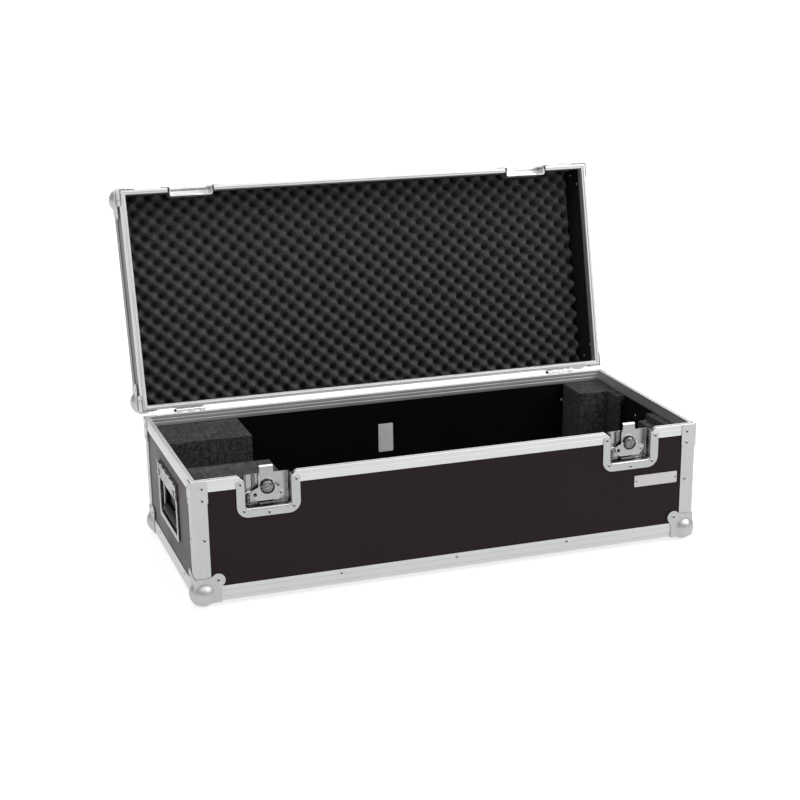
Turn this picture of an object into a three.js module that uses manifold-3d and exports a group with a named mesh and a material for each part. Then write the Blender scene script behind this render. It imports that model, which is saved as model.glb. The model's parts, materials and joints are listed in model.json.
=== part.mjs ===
// A flight case for stage lights, with its lid standing open.
// Laminated plywood panels are held in aluminium angles and closing rims. Pressed steel ball
// corners, butterfly latches in dishes, hinges and spring handles are riveted to them, and
// foam lines the inside. Millimetres, +Z up, the latches face -Y.
import * as THREE from "three";
import { mergeVertices } from "three/addons/utils/BufferGeometryUtils.js";
import Module from "manifold-3d";

const wasm = await Module();
wasm.setup();

// Driving sizes of the case
const CASE_LENGTH = 1000;
const CASE_DEPTH = 435;
const BASE_HEIGHT = 231;
const LID_HEIGHT = 100;
const LID_OPEN_DEGREES = 103.4;
const PLY = 6.8;
const SKIN = 1.2;
const FIT = 0.3;
const OVERRUN = 30;

// Aluminium angles and closing rims
const EDGE_LEAF = 28.6;
const RIM_LEAF = 21.3;
const RIM_SLOPE_DROP = 8;
const RIM_SLOPE_BACK = 0.8;
const RIM_NOSE = 0.6;
const RIM_WEB = 3.2;
const GROOVE_START = 3.4;
const GROOVE_WIDTH = 3.6;
const GROOVE_DEPTH = 1.6;
const LIP_RISE = 0.9;
const TONGUE_WIDTH = 1.6;
const TONGUE_REACH = 1.0;
const CLOSED_GAP = 0.4;
const RIB_DEPTH = 0.35;
const RIB_WIDTH = 1.4;
const RIB_PLACE_SHARES = [0.3, 0.72];
const EDGE_ROUND = 1.6;
const RIM_CHAMFER_LENGTH = 10;
const RIM_CHAMFER_HEIGHT = 8;

// Brace plates round the rim's corners
const BRACE_WIDTH = 30;
const BRACE_LENGTH = 46;
const LID_BRACE_LENGTH = 42;
const PLATE = 1.2;

// Ball corners
const BALL_RADIUS = 22.7;
const BALL_INSET = 12;
const BALL_LEAF = 46;
const BALL_LEAF_STRAIGHT = 13;
const LOBE_RADIUS = 13.5;
const LOBE_CENTRE = 40.5;
const LOBE_CURVE_CONTROL = 29;
const FOOT_FLAT = 0.5;

// Latch dishes and their keepers
const LATCH_FROM_END = 140;
const WING_SIDE_CLEARANCE = 10;
const WING_LOW_CLEARANCE = 3;
const LATCH_BAND = 17;
const DISH_CORNER = 20;
const DISH_INNER_CORNER = 7;
const DISH_TOP_GAP = 3;
const CHANNEL_PLAY = 3.5;
const CHANNEL_DEPTH = 3;
const KEEPER_HEIGHT = 58;
const STRIKE_WIDTH = 48;
const STRIKE_START = 0.8;
const STRIKE_HEIGHT = 2.4;

// Butterfly mechanism, measured from the hub's centre. As the cam pulls the hook down, the hook
// also swings back under the keeper's ledge.
const HUB_DROP = 26;
const HUB_RADIUS = 11;
const HUB_DISC_RADIUS = 12.5;
const HUB_DISC_BACK = 10;
const HUB_DISC_THICK = 1.5;
const HUB_TOP_BACK = 3;
const HUB_DOME_ROUND = 3.4;
const HUB_SHAFT_CLEARANCE = 0.55;
const CAM_RADIUS = 6.5;
const CAM_THROW = 3.5;
const CAM_PLAY = 1.05;
const HOOK_PLATE = 2;
const HOOK_WIDTH = 31;
const HOOK_TAPER = 1;
const HOOK_RISE = 39;
const HOOK_TAIL = 14;
const HOOK_LIP = 2.05;
const HOOK_LIP_THICK = 2.5;
const HOOK_CORNER = 2;
const HOOK_BEHIND_HUB = 0.6;
const WING_PLATE = 1.6;
const WING_REACH = 32;
const WING_DROP = 25;
const WING_LOBE_TOP = 7;
const WING_LOBE_HALF = 31;
const WING_GAP = 2.6;
const WING_HOLE = 3;
const WING_HOLE_SIDE = 23.5;
const WING_HOLE_DROP = 13;
const WING_PIN_RADIUS = 1.2;
const WING_PIN_HALF = 17;
const WING_EAR_LENGTH = 3;
const WING_EAR_WALL = 0.9;
const WING_EAR_CLEARANCE = 0.4;
const WING_PLATE_AHEAD = 0.4;

// Spring handles in their dishes, one on each end
const HANDLE_BELOW_TOP = 46;
const HANDLE_CORNER = 8;
const HANDLE_OPENING_WIDTH = 152;
const HANDLE_OPENING_HEIGHT = 70;
const HANDLE_SIDE_BAND = 11.5;
const HANDLE_LOW_BAND = 10;
const HANDLE_HIGH_BAND = 35;
const HANDLE_DISH_MARGIN = 2;
const HANDLE_DISH_ABOVE_PIVOT = 13;
const BAIL_PIVOT_ABOVE_OPENING = 13;
const BAIL_PIVOT_BACK = 6;
const BAIL_STUB_RADIUS = 2.5;
const BAIL_ARM_FROM_SIDE = 12;
const BAIL_ARM_WIDTH = 8;
const BAIL_ARM_THICK = 5;
const ROD_ABOVE_OPENING_LOW = 12;
const BAIL_SLOT_PLAY = 1.2;
const BAIL_SLOT_ABOVE_PIVOT = 5;
const ROD_RADIUS = 3;
const GRIP_RADIUS = 7.3;
const GRIP_END_GAP = 1;
const GRIP_CLEARANCE = 0.5;

// Hinges on the back
const HINGE_FROM_END = 95;
const HINGE_WIDTH = 58;
const HINGE_LEAF = 48;
const HINGE_BEHIND = 5;
const HINGE_ABOVE = 3;
const KNUCKLES = 5;
const KNUCKLE_RADIUS = 3.9;
const KNUCKLE_GAP = 0.4;
const KNUCKLE_RELIEF = 0.5;
const PIN_RADIUS = 1.7;
const PIN_HEAD_RADIUS = 2.8;
const PIN_HEAD = 1.2;

// Foam, with the blocks' places measured inwards from the case's outer faces
const FOAM_TOP_DROP = 22;
const FOAM_LEFT_FRONT_LENGTH = 171;
const FOAM_LEFT_FRONT_DEPTH = 138;
const FOAM_LEFT_BACK_LENGTH = 90.5;
const FOAM_LEFT_BACK_SECOND = 86.5;
const FOAM_LEFT_BACK_DEPTH = 123;
const FOAM_RIGHT_SHEET = 19;
const FOAM_RIGHT_SHEET_DEPTH = 133;
const FOAM_RIGHT_BLOCK_LENGTH = 65;
const FOAM_RIGHT_BLOCK_DEPTH = 87;
const FOAM_RIGHT_FRONT_DEPTH = 152;
const FOAM_STEP_LENGTH = 16;
const FOAM_STEP_DROP = 14;
const FOAM_CLEARANCE = 3;
const EGG_PITCH_LENGTH = 35.2;
const EGG_PITCH_DEPTH = 33.3;
const EGG_BACKING = 17;
const EGG_RISE = 24;
const EGG_RIGHT_MARGIN = 16;

// Roundness
const CURVE_STEPS = 4;
const BALL_SEGMENTS = 16;
const BALL_RINGS = 8;
const HUB_SIDES = 16;
const SMALL_SIDES = 10;

// Sizes that follow
const HALF_LENGTH = CASE_LENGTH / 2;
const HALF_DEPTH = CASE_DEPTH / 2;
const PANEL_OUT = SKIN + FIT;
const PANEL_IN = PANEL_OUT + PLY;
const RIM_THICK = PANEL_IN + FIT + SKIN;
const INSIDE = PANEL_IN + FIT;
const PLATE_OUT = PLATE + FIT;
const CASE_TOP = BASE_HEIGHT + LID_HEIGHT;
const MITRE = FIT * Math.SQRT1_2;
const HUB_HEIGHT = BASE_HEIGHT - HUB_DROP;
const HINGE_HEIGHT = BASE_HEIGHT + HINGE_ABOVE;
const HOOK_FRONT = HUB_DISC_BACK + HOOK_BEHIND_HUB;
const HOOK_BACK = HOOK_FRONT + HOOK_PLATE;
const HOOK_SWING = HOOK_LIP;
const DISH_DEPTH = HOOK_BACK + HOOK_LIP + HOOK_SWING + FIT;
const LATCH_OPENING_HALF = WING_REACH + WING_SIDE_CLEARANCE;
const LATCH_HALF = LATCH_OPENING_HALF + LATCH_BAND;
const LATCH_DROP = HUB_DROP + WING_REACH + WING_LOW_CLEARANCE + LATCH_BAND;
const HUB_SHAFT_RADIUS = CAM_RADIUS + CAM_PLAY - CAM_THROW - HUB_SHAFT_CLEARANCE;
const WING_EAR_RADIUS = WING_PIN_RADIUS + FIT + WING_EAR_WALL;
const WING_PIN_BACK = HOOK_FRONT - WING_EAR_CLEARANCE - WING_EAR_RADIUS;
const WING_FRONT_BACK = WING_PIN_BACK - WING_EAR_RADIUS - WING_PLATE_AHEAD;
const HANDLE_OPENING_HALF = HANDLE_OPENING_WIDTH / 2;
const HANDLE_OPENING_HIGH = HANDLE_LOW_BAND + HANDLE_OPENING_HEIGHT;
const HANDLE_HALF = HANDLE_OPENING_HALF + HANDLE_SIDE_BAND;
const HANDLE_HEIGHT = HANDLE_OPENING_HIGH + HANDLE_HIGH_BAND;
const HANDLE_LOW = BASE_HEIGHT - HANDLE_BELOW_TOP - HANDLE_HEIGHT;
const BAIL_PIVOT_HEIGHT = HANDLE_OPENING_HIGH + BAIL_PIVOT_ABOVE_OPENING;
const BAIL_ARM_INNER = HANDLE_OPENING_HALF - BAIL_ARM_FROM_SIDE;
const ROD_HEIGHT = HANDLE_LOW_BAND + ROD_ABOVE_OPENING_LOW;
const HANDLE_DISH_TOP = BAIL_PIVOT_HEIGHT + HANDLE_DISH_ABOVE_PIVOT;
const HANDLE_DISH_DEPTH = BAIL_PIVOT_BACK + GRIP_RADIUS + GRIP_CLEARANCE;

const metals = {
  extrusion: { color: 0xd6d8da, roughness: 0.42, metalness: 1 },
  steel: { color: 0xc4c6c8, roughness: 0.34, metalness: 1 },
  chrome: { color: 0xd9dadc, roughness: 0.2, metalness: 1 },
};
const finishes = {
  ...metals,
  laminate: { color: 0x33262a, roughness: 0.5, metalness: 0 },
  foam: { color: 0x2b2c2d, roughness: 0.95, metalness: 0 },
  rubber: { color: 0x161616, roughness: 0.7, metalness: 0 },
};

// A named mesh with a material of its own.
function piece(name, geometry, finish, parent) {
  const mesh = new THREE.Mesh(geometry, new THREE.MeshStandardMaterial(finishes[finish]));
  mesh.name = name;
  parent.add(mesh);
  return mesh;
}

// A closed geometry as a solid that can be joined and cut.
function solid(geometry) {
  const bare = geometry.clone();
  bare.deleteAttribute("normal");
  bare.deleteAttribute("uv");
  const merged = mergeVertices(bare);
  const body = new wasm.Mesh({
    numProp: 3,
    vertProperties: new Float32Array(merged.attributes.position.array),
    triVerts: new Uint32Array(merged.index.array),
  });
  return new wasm.Manifold(body);
}

// A solid back as a geometry.
function geometryOf(body) {
  const mesh = body.getMesh();
  const geometry = new THREE.BufferGeometry();
  geometry.setAttribute("position", new THREE.BufferAttribute(mesh.vertProperties, mesh.numProp));
  geometry.setIndex(new THREE.BufferAttribute(mesh.triVerts, 1));
  return geometry;
}

function join(...bodies) {
  return bodies.reduce((all, body) => all.add(body));
}

function cut(body, ...tools) {
  return tools.reduce((rest, tool) => rest.subtract(tool), body);
}

// A block between two corners.
function block(x0, x1, y0, y1, z0, z1) {
  const box = new THREE.BoxGeometry(x1 - x0, y1 - y0, z1 - z0);
  box.translate((x0 + x1) / 2, (y0 + y1) / 2, (z0 + z1) / 2);
  return solid(box);
}

// A flat outline in x and y, thickened from one height to another.
function slab(shape, z0, z1) {
  const geometry = new THREE.ExtrudeGeometry(shape, {
    depth: z1 - z0,
    bevelEnabled: false,
    curveSegments: CURVE_STEPS,
  });
  return solid(geometry.translate(0, 0, z0));
}

// A round bar along x.
function barAlongX(x0, x1, y, z, radius, sides = SMALL_SIDES) {
  const bar = new THREE.CylinderGeometry(radius, radius, x1 - x0, sides);
  bar.rotateZ(Math.PI / 2);
  return solid(bar.translate((x0 + x1) / 2, y, z));
}

// A round bar along z.
function barAlongZ(x, y, z0, z1, radius, sides = SMALL_SIDES) {
  const bar = new THREE.CylinderGeometry(radius, radius, z1 - z0, sides);
  bar.rotateX(Math.PI / 2);
  return solid(bar.translate(x, y, (z0 + z1) / 2));
}

// A rectangle with its own radius at each corner, given from the lower left one round to the left.
function roundedRectangle(x0, x1, y0, y1, [lowLeft, lowRight, highRight, highLeft]) {
  const shape = new THREE.Shape();
  const corner = (x, y, radius, start) => {
    if (radius > 0) shape.absarc(x, y, radius, start, start + Math.PI / 2);
    else shape.lineTo(x, y);
  };
  shape.moveTo(x0, y0 + lowLeft);
  corner(x0 + lowLeft, y0 + lowLeft, lowLeft, Math.PI);
  corner(x1 - lowRight, y0 + lowRight, lowRight, -Math.PI / 2);
  corner(x1 - highRight, y1 - highRight, highRight, 0);
  corner(x0 + highLeft, y1 - highLeft, highLeft, Math.PI / 2);
  shape.closePath();
  return shape;
}

// A profile (u inwards from the case's outer face, v up) carried along stations in plan. Each
// station has a place and the direction in which u runs there, so corners come out mitred.
function sweep(profile, stations, closed = false) {
  const count = profile.length;
  const positions = stations.flatMap(({ x, y, inX, inY }) =>
    profile.flatMap(([u, v]) => [x + u * inX, y + u * inY, v]));
  const triangles = [];
  const spans = closed ? stations.length : stations.length - 1;
  for (let s = 0; s < spans; s += 1) {
    const near = s * count;
    const far = ((s + 1) % stations.length) * count;
    for (let i = 0; i < count; i += 1) {
      const j = (i + 1) % count;
      triangles.push(near + i, near + j, far + j, near + i, far + j, far + i);
    }
  }
  if (!closed) {
    const contour = profile.map(([u, v]) => new THREE.Vector2(u, v));
    const clockwise = THREE.ShapeUtils.isClockWise(contour);
    const last = (stations.length - 1) * count;
    for (const [a, b, c] of THREE.ShapeUtils.triangulateShape(contour, [])) {
      const [second, third] = clockwise ? [b, c] : [c, b];
      triangles.push(a, second, third, last + a, last + third, last + second);
    }
  }
  return facingOut(positions, triangles);
}

// Gives a closed body from points and triangles, turned so that its faces point outwards.
function facingOut(positions, triangles) {
  const at = (i) => new THREE.Vector3().fromArray(positions, 3 * i);
  let volume = 0;
  for (let t = 0; t < triangles.length; t += 3) {
    const [a, b, c] = [at(triangles[t]), at(triangles[t + 1]), at(triangles[t + 2])];
    volume += a.dot(b.cross(c));
  }
  const index = volume > 0 ? triangles : [...triangles].reverse();
  const geometry = new THREE.BufferGeometry();
  geometry.setAttribute("position", new THREE.Float32BufferAttribute(positions, 3));
  geometry.setIndex(index);
  return solid(geometry);
}

// The case's corners in plan, in order round it, each with its inward diagonal.
const CORNERS = {
  frontLeft: { x: -HALF_LENGTH, y: -HALF_DEPTH, inX: 1, inY: 1 },
  frontRight: { x: HALF_LENGTH, y: -HALF_DEPTH, inX: -1, inY: 1 },
  backRight: { x: HALF_LENGTH, y: HALF_DEPTH, inX: -1, inY: -1 },
  backLeft: { x: -HALF_LENGTH, y: HALF_DEPTH, inX: 1, inY: -1 },
};

// A corner as the mitred end of one rail, held back by half the gap between the two rails.
function mitred(corner, along) {
  const { x, y, inX, inY } = CORNERS[corner];
  return along === "x" ? { x: x + inX * MITRE, y, inX, inY } : { x, y: y + inY * MITRE, inX, inY };
}

// A square end of a rail on the front.
function frontEnd(x) {
  return { x, y: -HALF_DEPTH, inX: 0, inY: 1 };
}

// Shallow V grooves along a leaf, as points from one end of it to the other.
function ribs(leaf, pointAt) {
  return RIB_PLACE_SHARES.flatMap((share) => [
    pointAt(share * leaf - RIB_WIDTH / 2, 0),
    pointAt(share * leaf, RIB_DEPTH),
    pointAt(share * leaf + RIB_WIDTH / 2, 0),
  ]);
}

// The ribbed angle along the bottom of the base. Turned over, it runs round the top of the lid.
function edgeProfile(height, up) {
  const at = (u, v) => [u, height + up * v];
  const outer = ribs(EDGE_LEAF, (along, deep) => at(deep, along));
  const under = ribs(EDGE_LEAF, (along, deep) => at(along, deep)).reverse();
  return [
    at(EDGE_LEAF, 0), ...under, at(EDGE_ROUND, 0), at(0, EDGE_ROUND), ...outer,
    at(0, EDGE_LEAF), at(SKIN, EDGE_LEAF), at(SKIN, SKIN), at(EDGE_LEAF, SKIN),
  ];
}

// The closing rim of the base: a channel over the panel with a groove in its face.
function baseRimProfile() {
  const at = (u, v) => [u, BASE_HEIGHT + v];
  const grooveEnd = GROOVE_START + GROOVE_WIDTH;
  return [
    at(0, -RIM_LEAF), at(0, -RIM_SLOPE_DROP - RIB_WIDTH),
    at(RIB_DEPTH, -RIM_SLOPE_DROP - RIB_WIDTH / 2), at(0, -RIM_SLOPE_DROP),
    at(RIM_SLOPE_BACK, -RIM_NOSE), at(RIM_SLOPE_BACK + RIM_NOSE, 0),
    at(GROOVE_START, 0), at(GROOVE_START, -GROOVE_DEPTH), at(grooveEnd, -GROOVE_DEPTH),
    at(grooveEnd, LIP_RISE), at(RIM_THICK - RIM_NOSE, LIP_RISE), at(RIM_THICK, LIP_RISE - RIM_NOSE),
    at(RIM_THICK, -RIM_LEAF), at(RIM_THICK - SKIN, -RIM_LEAF), at(RIM_THICK - SKIN, -RIM_WEB),
    at(SKIN, -RIM_WEB), at(SKIN, -RIM_LEAF),
  ];
}

// The closing rim of the lid, whose low tongue drops into the base's groove.
function lidRimProfile() {
  const at = (u, v) => [u, BASE_HEIGHT + v];
  const tongueStart = GROOVE_START + (GROOVE_WIDTH - TONGUE_WIDTH) / 2;
  const tongueEnd = tongueStart + TONGUE_WIDTH;
  const innerFace = LIP_RISE + CLOSED_GAP;
  const web = innerFace + RIM_WEB;
  return [
    at(0, RIM_LEAF), at(0, RIM_SLOPE_DROP + RIB_WIDTH), at(RIB_DEPTH, RIM_SLOPE_DROP + RIB_WIDTH / 2),
    at(0, RIM_SLOPE_DROP), at(RIM_SLOPE_BACK, CLOSED_GAP + RIM_NOSE),
    at(RIM_SLOPE_BACK + RIM_NOSE, CLOSED_GAP), at(tongueStart, CLOSED_GAP),
    at(tongueStart + RIM_NOSE / 2, -TONGUE_REACH), at(tongueEnd - RIM_NOSE / 2, -TONGUE_REACH),
    at(tongueEnd, innerFace), at(RIM_THICK - RIM_NOSE, innerFace), at(RIM_THICK, innerFace + RIM_NOSE),
    at(RIM_THICK, RIM_LEAF), at(RIM_THICK - SKIN, RIM_LEAF), at(RIM_THICK - SKIN, web),
    at(SKIN, web), at(SKIN, RIM_LEAF),
  ];
}

// An L in plan round the corner at the origin, with the case towards +x and +y.
function cornerAngle(leg, out, inside, z0, z1) {
  const shape = new THREE.Shape();
  shape.moveTo(-out, -out);
  shape.lineTo(leg, -out);
  shape.lineTo(leg, inside);
  shape.lineTo(inside, inside);
  shape.lineTo(inside, leg);
  shape.lineTo(-out, leg);
  shape.closePath();
  return slab(shape, z0, z1);
}

// An upright angle with the brace plate that wraps it and the closing rim's corner. The plate
// stands clear of the rim and is pressed down onto the angle.
function bracedUpright(z0, z1, braceLow, braceHigh, pressLow, pressHigh) {
  return join(
    cornerAngle(EDGE_LEAF, 0, SKIN, z0, z1),
    cornerAngle(BRACE_WIDTH, PLATE_OUT, -FIT, braceLow, braceHigh),
    cornerAngle(BRACE_WIDTH - FIT, PLATE, SKIN / 2, pressLow, pressHigh),
  );
}

// Holds what stands at one corner of the case, turned so that the case lies towards +x and +y.
function cornerFrame(corner, parent) {
  const turns = { frontLeft: 0, frontRight: Math.PI / 2, backRight: Math.PI, backLeft: -Math.PI / 2 };
  const group = new THREE.Group();
  group.position.set(CORNERS[corner].x, CORNERS[corner].y, 0);
  group.rotation.z = turns[corner];
  parent.add(group);
  return group;
}

// Holds what is fixed to one side of the case: x along the side, y up, z outwards from its face.
function sideFrame(turn, distance, parent) {
  const turned = new THREE.Group();
  turned.rotation.z = turn;
  const face = new THREE.Group();
  face.position.y = -distance;
  face.rotation.x = Math.PI / 2;
  turned.add(face);
  parent.add(turned);
  return face;
}

// One leaf of a ball corner: square to the case's edges with a round lobe on the diagonal.
function ballLeaf() {
  const lobeStart = -Math.PI / 6;
  const lobeEnd = Math.PI / 2 - lobeStart;
  const shape = new THREE.Shape();
  shape.moveTo(-PLATE_OUT, -PLATE_OUT);
  shape.lineTo(BALL_LEAF, -PLATE_OUT);
  shape.lineTo(BALL_LEAF, BALL_LEAF_STRAIGHT);
  shape.quadraticCurveTo(
    BALL_LEAF, LOBE_CURVE_CONTROL,
    LOBE_CENTRE + LOBE_RADIUS * Math.cos(lobeStart), LOBE_CENTRE + LOBE_RADIUS * Math.sin(lobeStart),
  );
  shape.absarc(LOBE_CENTRE, LOBE_CENTRE, LOBE_RADIUS, lobeStart, lobeEnd);
  shape.quadraticCurveTo(LOBE_CURVE_CONTROL, BALL_LEAF, BALL_LEAF_STRAIGHT, BALL_LEAF);
  shape.lineTo(-PLATE_OUT, BALL_LEAF);
  shape.closePath();
  return shape;
}

// A pressed ball corner at the origin, with the case towards +x, +y and +z: three leaves and
// the ball over the corner, a little flat where it stands.
function ballCorner() {
  const leaf = new THREE.ExtrudeGeometry(ballLeaf(), {
    depth: PLATE, bevelEnabled: false, curveSegments: CURVE_STEPS,
  }).translate(0, 0, -PLATE_OUT);
  const onEnd = leaf.clone().rotateX(Math.PI / 2).rotateZ(Math.PI / 2);
  const onFront = leaf.clone().rotateY(-Math.PI / 2).rotateZ(-Math.PI / 2);
  const ball = new THREE.SphereGeometry(BALL_RADIUS, BALL_SEGMENTS, BALL_RINGS);
  ball.translate(BALL_INSET, BALL_INSET, BALL_INSET);
  const low = BALL_INSET - BALL_RADIUS + FOOT_FLAT;
  const reach = BALL_RADIUS + OVERRUN;
  return cut(
    join(solid(ball), solid(leaf), solid(onEnd), solid(onFront)),
    block(-FIT, reach, -FIT, reach, -FIT, reach),
    block(-reach, reach, -reach, reach, low - OVERRUN, low),
  );
}

// The outline of a dish's flange. It hangs from the rim, or stands on it when turned over.
function dishOutline(halfWidth, start, end, radius) {
  const [low, high] = [Math.min(start, end), Math.max(start, end)];
  const radii = start > end ? [radius, radius, 0, 0] : [0, 0, radius, radius];
  return roundedRectangle(-halfWidth, halfWidth, low, high, radii);
}

// A flanged dish let into a front panel and open towards the rim. Direction -1 hangs it in the
// base, +1 stands it in the lid.
function latchDish(direction, reach) {
  const rim = BASE_HEIGHT;
  const far = rim + direction * reach;
  const half = LATCH_HALF;
  const flangeEnd = rim + direction * (RIM_SLOPE_DROP + RIB_WIDTH);
  const padEnd = rim + direction * (RIM_LEAF + FIT);
  const wallEnd = rim + direction * (direction < 0 ? DISH_TOP_GAP : CLOSED_GAP + FIT);
  const hollowStart = rim - direction * OVERRUN;
  const hollowEnd = far - direction * LATCH_BAND;
  const shellEnd = hollowEnd + direction * PLATE;
  const inner = dishOutline(LATCH_OPENING_HALF, hollowStart, hollowEnd, DISH_INNER_CORNER);
  const shellHalf = LATCH_OPENING_HALF + PLATE;
  const outer = dishOutline(shellHalf, wallEnd, shellEnd, DISH_INNER_CORNER + PLATE);
  const flange = slab(dishOutline(half, flangeEnd, far, DISH_CORNER), FIT, PLATE_OUT);
  const pad = slab(dishOutline(half, padEnd, far, DISH_CORNER), FIT - PANEL_OUT, PLATE);
  const wall = slab(outer, -DISH_DEPTH - PLATE, PLATE);
  return cut(join(flange, pad, wall), slab(inner, -DISH_DEPTH, OVERRUN));
}

// The base's latch dish, with the channel in its back that guides the hook.
function baseDish() {
  const half = HOOK_WIDTH / 2 + CHANNEL_PLAY;
  const top = BASE_HEIGHT - DISH_TOP_GAP;
  const low = BASE_HEIGHT - LATCH_DROP + LATCH_BAND + DISH_INNER_CORNER;
  const back = -DISH_DEPTH - CHANNEL_DEPTH;
  const housing = block(-half - PLATE, half + PLATE, low - PLATE, top, back - PLATE, -DISH_DEPTH);
  const channel = block(-half, half, low, top + OVERRUN, back, -DISH_DEPTH + PLATE);
  return cut(join(latchDish(-1, LATCH_DROP), housing), channel);
}

// The lid's keeper dish, with the ledge that the hook pulls down on. The open hook just clears it.
function keeperDish() {
  const low = BASE_HEIGHT + STRIKE_START;
  const ledge = block(
    -STRIKE_WIDTH / 2, STRIKE_WIDTH / 2, low, low + STRIKE_HEIGHT,
    -DISH_DEPTH - PLATE / 2, -HOOK_BACK - HOOK_LIP - FIT,
  );
  return join(latchDish(1, KEEPER_HEIGHT), ledge);
}

// The turning hub: dome, disc, the wing's cross pin, and a cam on its shaft behind.
function latchHub() {
  const discFront = -HUB_DISC_BACK + HUB_DISC_THICK;
  const dome = new THREE.LatheGeometry([
    new THREE.Vector2(0, discFront - HUB_DISC_THICK / 2),
    new THREE.Vector2(HUB_RADIUS, discFront - HUB_DISC_THICK / 2),
    new THREE.Vector2(HUB_RADIUS, -HUB_TOP_BACK - HUB_DOME_ROUND),
    new THREE.Vector2(HUB_RADIUS - HUB_DOME_ROUND / 4, -HUB_TOP_BACK - HUB_DOME_ROUND / 2),
    new THREE.Vector2(HUB_RADIUS - HUB_DOME_ROUND, -HUB_TOP_BACK - HUB_DOME_ROUND / 8),
    new THREE.Vector2(0, -HUB_TOP_BACK),
  ], HUB_SIDES).rotateX(Math.PI / 2);
  const camBack = -HOOK_BACK - HOOK_SWING;
  const camFront = -HUB_DISC_BACK + HUB_DISC_THICK / 2;
  return join(
    solid(dome),
    barAlongZ(0, 0, -HUB_DISC_BACK, discFront, HUB_DISC_RADIUS, HUB_SIDES),
    barAlongZ(0, CAM_THROW, camBack, camFront, CAM_RADIUS, HUB_SIDES),
    barAlongZ(0, 0, -DISH_DEPTH - CHANNEL_DEPTH + FIT, -HUB_DISC_BACK, HUB_SHAFT_RADIUS),
    barAlongX(-WING_PIN_HALF, WING_PIN_HALF, 0, -WING_PIN_BACK, WING_PIN_RADIUS),
  );
}

// The outline of the butterfly wing: two lobes under the hub, inside the circle that it turns in.
function wingOutline() {
  const gap = HUB_RADIUS + WING_GAP;
  const drop = Math.asin(WING_DROP / WING_REACH);
  const lobe = Math.asin((WING_LOBE_TOP + WING_PLATE) / WING_REACH);
  const ear = WING_PIN_HALF - FIT;
  const shape = new THREE.Shape();
  shape.moveTo(-ear, 0);
  shape.quadraticCurveTo(-WING_LOBE_HALF + WING_PLATE, -WING_LOBE_TOP / 2, -WING_REACH * Math.cos(lobe),
    -WING_REACH * Math.sin(lobe));
  shape.absarc(0, 0, WING_REACH, Math.PI + lobe, Math.PI + drop);
  shape.lineTo(WING_REACH * Math.cos(drop), -WING_DROP);
  shape.absarc(0, 0, WING_REACH, -drop, -lobe);
  shape.quadraticCurveTo(WING_LOBE_HALF - WING_PLATE, -WING_LOBE_TOP / 2, ear, 0);
  shape.lineTo(gap, 0);
  shape.absarc(0, 0, gap, 0, Math.PI, true);
  shape.closePath();
  return shape;
}

// The wing, with rolled ears round the hub's cross pin.
function latchWing() {
  const back = -WING_FRONT_BACK - WING_PLATE;
  const earOut = WING_PIN_HALF - FIT;
  const ears = [-1, 1].map((side) => {
    const [a, b] = [side * earOut, side * (earOut - WING_EAR_LENGTH)].sort((p, q) => p - q);
    return barAlongX(a, b, 0, -WING_PIN_BACK, WING_EAR_RADIUS);
  });
  const holes = [-1, 1].map((side) =>
    barAlongZ(side * WING_HOLE_SIDE, -WING_HOLE_DROP, -OVERRUN, OVERRUN, WING_HOLE));
  const bore = barAlongX(-OVERRUN, OVERRUN, 0, -WING_PIN_BACK, WING_PIN_RADIUS + FIT);
  return cut(join(slab(wingOutline(), back, back + WING_PLATE), ...ears), bore, ...holes);
}

// The hook plate: a tapered tab with a lip that turns back over the keeper's ledge, and a slot
// for the hub's cam.
function latchHook() {
  const half = HOOK_WIDTH / 2;
  const shape = new THREE.Shape();
  shape.moveTo(-half, -HOOK_TAIL);
  shape.lineTo(half, -HOOK_TAIL);
  shape.lineTo(half, HUB_DROP);
  shape.lineTo(half - HOOK_TAPER, HOOK_RISE - HOOK_CORNER);
  shape.lineTo(half - HOOK_TAPER - HOOK_CORNER, HOOK_RISE);
  shape.lineTo(-half + HOOK_TAPER + HOOK_CORNER, HOOK_RISE);
  shape.lineTo(-half + HOOK_TAPER, HOOK_RISE - HOOK_CORNER);
  shape.lineTo(-half, HUB_DROP);
  shape.closePath();
  const lipHalf = half - HOOK_TAPER - HOOK_CORNER;
  const lip = block(
    -lipHalf, lipHalf, HOOK_RISE - HOOK_LIP_THICK, HOOK_RISE,
    -HOOK_BACK - HOOK_LIP, -HOOK_BACK + HOOK_PLATE / 2,
  );
  const slotHalf = CAM_RADIUS + CAM_THROW + CAM_PLAY;
  const slotDrop = CAM_RADIUS + CAM_PLAY;
  const slot = block(
    -slotHalf, slotHalf, CAM_THROW - slotDrop, CAM_THROW + slotDrop, -OVERRUN, OVERRUN,
  );
  return cut(join(slab(shape, -HOOK_BACK, -HOOK_FRONT), lip), slot);
}

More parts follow.
